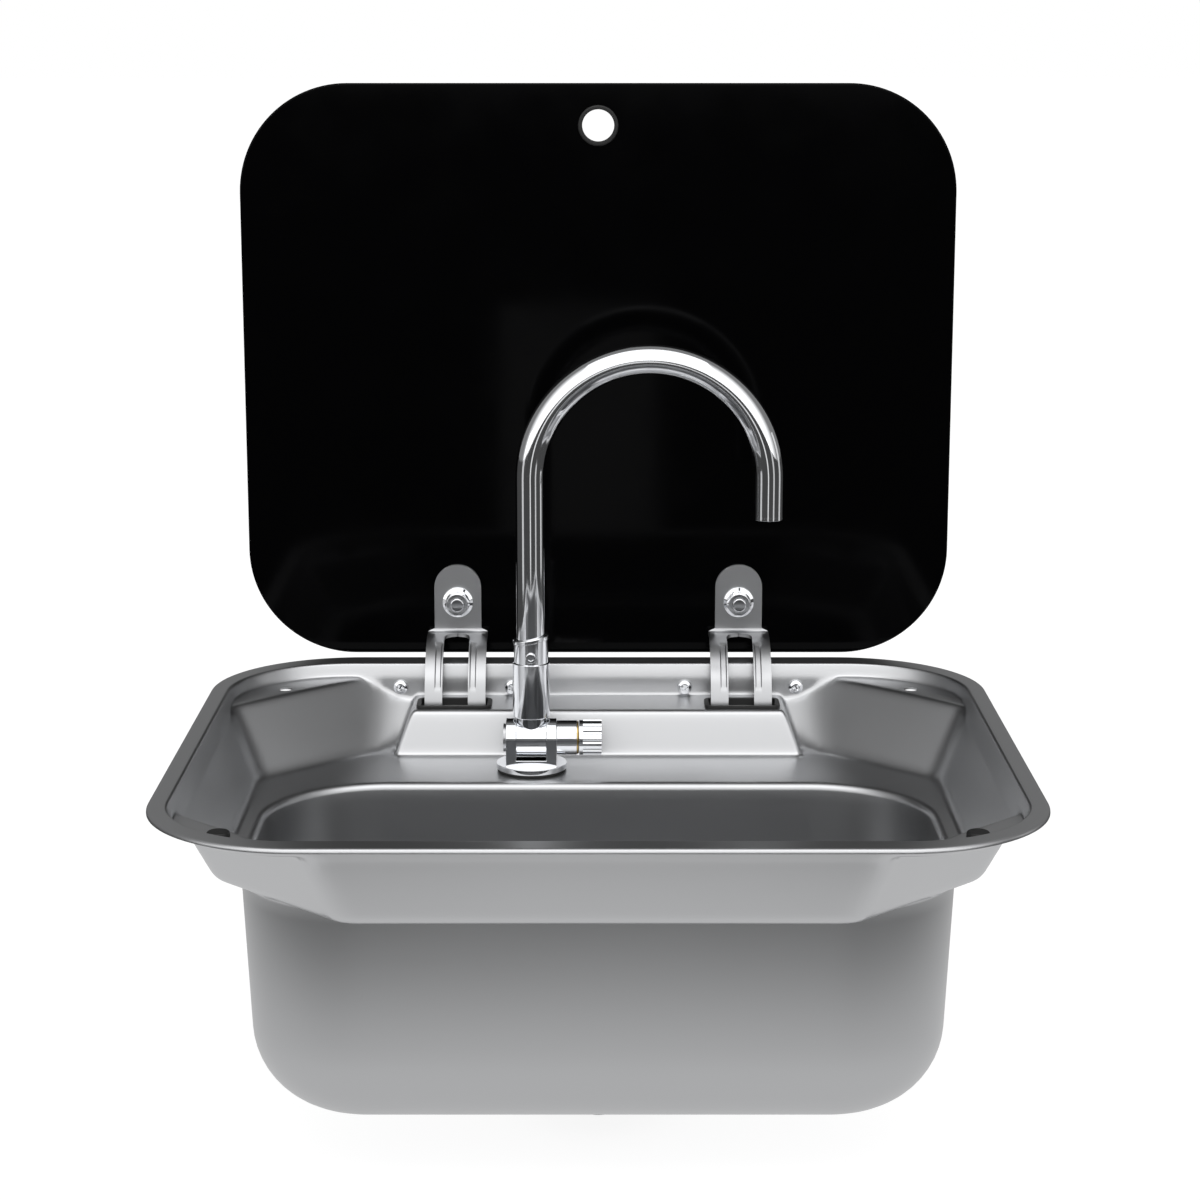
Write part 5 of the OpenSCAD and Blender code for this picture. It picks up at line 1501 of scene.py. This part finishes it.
def card(name, width, height, at, aim, radiance):
    """A soft lamp of an even radiance, turned to a point"""
    to_object_mode()
    bpy.ops.object.light_add(type="AREA", location=at)
    lamp = bpy.context.object
    lamp.name = lamp.data.name = name
    lamp.data.shape = "RECTANGLE"
    lamp.data.size = width
    lamp.data.size_y = height
    lamp.data.energy = radiance * math.pi * width * height
    lamp.rotation_euler = (Vector(aim) - Vector(at)).to_track_quat("-Z", "Y").to_euler()
    return lamp


def seen_straight(nodes, links, rays):
    """1 for what the camera sees, also through glass"""
    camera, through = rays.outputs["Is Camera Ray"], rays.outputs["Is Transmission Ray"]
    return worked_out(nodes, links, "MAXIMUM", camera, through)


def pale_floor():
    """White floor that keeps the sink's shadow; reflections see it bright near the sink and dark far off"""
    material = bpy.data.materials.new("Pale floor")
    material.use_nodes = True
    nodes, links = material.node_tree.nodes, material.node_tree.links
    nodes.clear()
    matt = nodes.new("ShaderNodeBsdfDiffuse")
    matt.inputs["Color"].default_value = (*bpy.context.scene.sink_finishes.floor, 1)
    place = nodes.new("ShaderNodeTexCoord")
    area = nodes.new("ShaderNodeMapping")
    area.vector_type = "TEXTURE"
    area.inputs["Location"].default_value = (0, 0.1, 0)
    area.inputs["Scale"].default_value = (0.79, 0.72, 1)
    links.new(place.outputs["Object"], area.inputs["Vector"])
    near = nodes.new("ShaderNodeTexGradient")
    near.gradient_type = "SPHERICAL"
    links.new(area.outputs[0], near.inputs["Vector"])
    mirrored = eased(nodes, links, near.outputs["Fac"], 0.26, 0.355, DARK_FLOOR, BRIGHT_FLOOR)
    rays = nodes.new("ShaderNodeLightPath")
    other_rays = worked_out(nodes, links, "SUBTRACT", 1, rays.outputs["Is Glossy Ray"])
    plain = worked_out(nodes, links, "MULTIPLY", FLOOR_GLOW, other_rays)
    in_metal = worked_out(nodes, links, "MULTIPLY", mirrored, rays.outputs["Is Glossy Ray"])
    glow = nodes.new("ShaderNodeEmission")
    links.new(worked_out(nodes, links, "ADD", plain, in_metal), glow.inputs["Strength"])
    straight = worked_out(nodes, links, "MULTIPLY", seen_straight(nodes, links, rays), FLOOR_SHARE)
    mirror = worked_out(nodes, links, "MULTIPLY", rays.outputs["Is Glossy Ray"], MIRROR_SHARE)
    blend = nodes.new("ShaderNodeMixShader")
    out = nodes.new("ShaderNodeOutputMaterial")
    links.new(worked_out(nodes, links, "MAXIMUM", straight, mirror), blend.inputs[0])
    links.new(matt.outputs[0], blend.inputs[1])
    links.new(glow.outputs[0], blend.inputs[2])
    links.new(blend.outputs[0], out.inputs["Surface"])
    return material


class SINK_OT_stage(bpy.types.Operator):
    """Set the floor, the soft lamps and the camera"""

    bl_idname = "sink.stage"
    bl_label = "Studio"

    def execute(self, context):
        to_object_mode()
        under = 0.4 * MM
        bpy.ops.mesh.primitive_plane_add(size=40, location=(0, 0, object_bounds()[0][2] - under))
        floor = context.object
        floor.name = "studio_floor"
        floor.data.materials.append(pale_floor())
        floor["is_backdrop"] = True

        self.world(context)
        tap = (0, 0.1, 0.1)
        card("Top card", 2.4, 1.6, (0, -0.6, 1.9), (0, 0, 0), 0.9)
        card("Left card", 0.3, 0.55, (-1.0, -0.45, 0.1), tap, 0.6)
        card("Right card", 0.3, 0.55, (1.15, 0.12, 0.1), tap, 0.6)
        card("Right front card", 0.2, 0.35, (0.74, -0.74, 0), tap, 0.6)
        card("Low card", 0.16, 0.24, (-0.02, -1.05, -0.05), tap, 0.8)
        bpy.ops.object.camera_add(location=(0, -1.3568, 0.3651), rotation=(math.radians(77.92), 0, 0))
        camera = context.object
        camera.data.sensor_width = 36
        camera.data.lens = 83.4
        camera.data.shift_x = 0.0015
        context.scene.camera = camera
        context.scene.view_settings.view_transform = "Standard"
        return {"FINISHED"}

    def world(self, context):
        """White behind the sink; reflections see a dark room with a bright cloth in front and above"""
        world = context.scene.world or bpy.data.worlds.new("Studio")
        context.scene.world = world
        world.use_nodes = True
        nodes, links = world.node_tree.nodes, world.node_tree.links
        nodes.clear()
        direction = nodes.new("ShaderNodeTexCoord")
        toward = nodes.new("ShaderNodeVectorMath")
        toward.operation = "DOT_PRODUCT"
        toward.inputs[1].default_value = (0, -0.966, 0.26)
        links.new(direction.outputs["Generated"], toward.inputs[0])
        cloth = eased(nodes, links, toward.outputs["Value"], 0.1, 0.8, DARK_ROOM, BRIGHT_CLOTH)
        rays = nodes.new("ShaderNodeLightPath")
        straight = seen_straight(nodes, links, rays)
        level = nodes.new("ShaderNodeMix")
        links.new(rays.outputs["Is Glossy Ray"], level.inputs[0])
        level.inputs[2].default_value = ROOM
        links.new(cloth, level.inputs[3])
        strength = worked_out(nodes, links, "MAXIMUM", straight, level.outputs[0])
        soft = nodes.new("ShaderNodeBackground")
        soft.inputs["Color"].default_value = (1, 1, 1, 1)
        links.new(strength, soft.inputs["Strength"])
        out = nodes.new("ShaderNodeOutputWorld")
        links.new(soft.outputs[0], out.inputs["Surface"])


OPERATORS = (
    SINK_OT_basin,
    SINK_OT_rubber,
    SINK_OT_glass,
    SINK_OT_clamps,
    SINK_OT_hinges,
    SINK_OT_tap,
    SINK_OT_drain,
    SINK_OT_stage,
)
SIZES = (
    ("sink_basin", BasinSizes),
    ("sink_lid", LidSizes),
    ("sink_hinges", HingeSizes),
    ("sink_tap", TapSizes),
    ("sink_finishes", Finishes),
)


class SINK_PT_pieces(bpy.types.Panel):
    """Lists the pieces of the sink"""

    bl_idname = "SINK_PT_pieces"
    bl_label = "Camper Sink"
    bl_space_type = "VIEW_3D"
    bl_region_type = "UI"
    bl_category = "Camper Sink"

    def draw(self, context):
        for kind in OPERATORS:
            self.layout.operator(kind.bl_idname)


def register():
    for name, group in SIZES:
        bpy.utils.register_class(group)
        setattr(bpy.types.Scene, name, PointerProperty(type=group))
    for kind in (*OPERATORS, SINK_PT_pieces):
        bpy.utils.register_class(kind)


def unregister():
    for kind in (SINK_PT_pieces, *reversed(OPERATORS)):
        bpy.utils.unregister_class(kind)
    for name, group in reversed(SIZES):
        delattr(bpy.types.Scene, name)
        bpy.utils.unregister_class(group)


def main():
    register()
    bpy.ops.sink.basin()
    bpy.ops.sink.rubber()
    bpy.ops.sink.glass()
    bpy.ops.sink.clamps()
    bpy.ops.sink.hinges()
    bpy.ops.sink.tap()
    bpy.ops.sink.drain()
    bpy.ops.sink.stage()


if __name__ == "__main__":
    main()
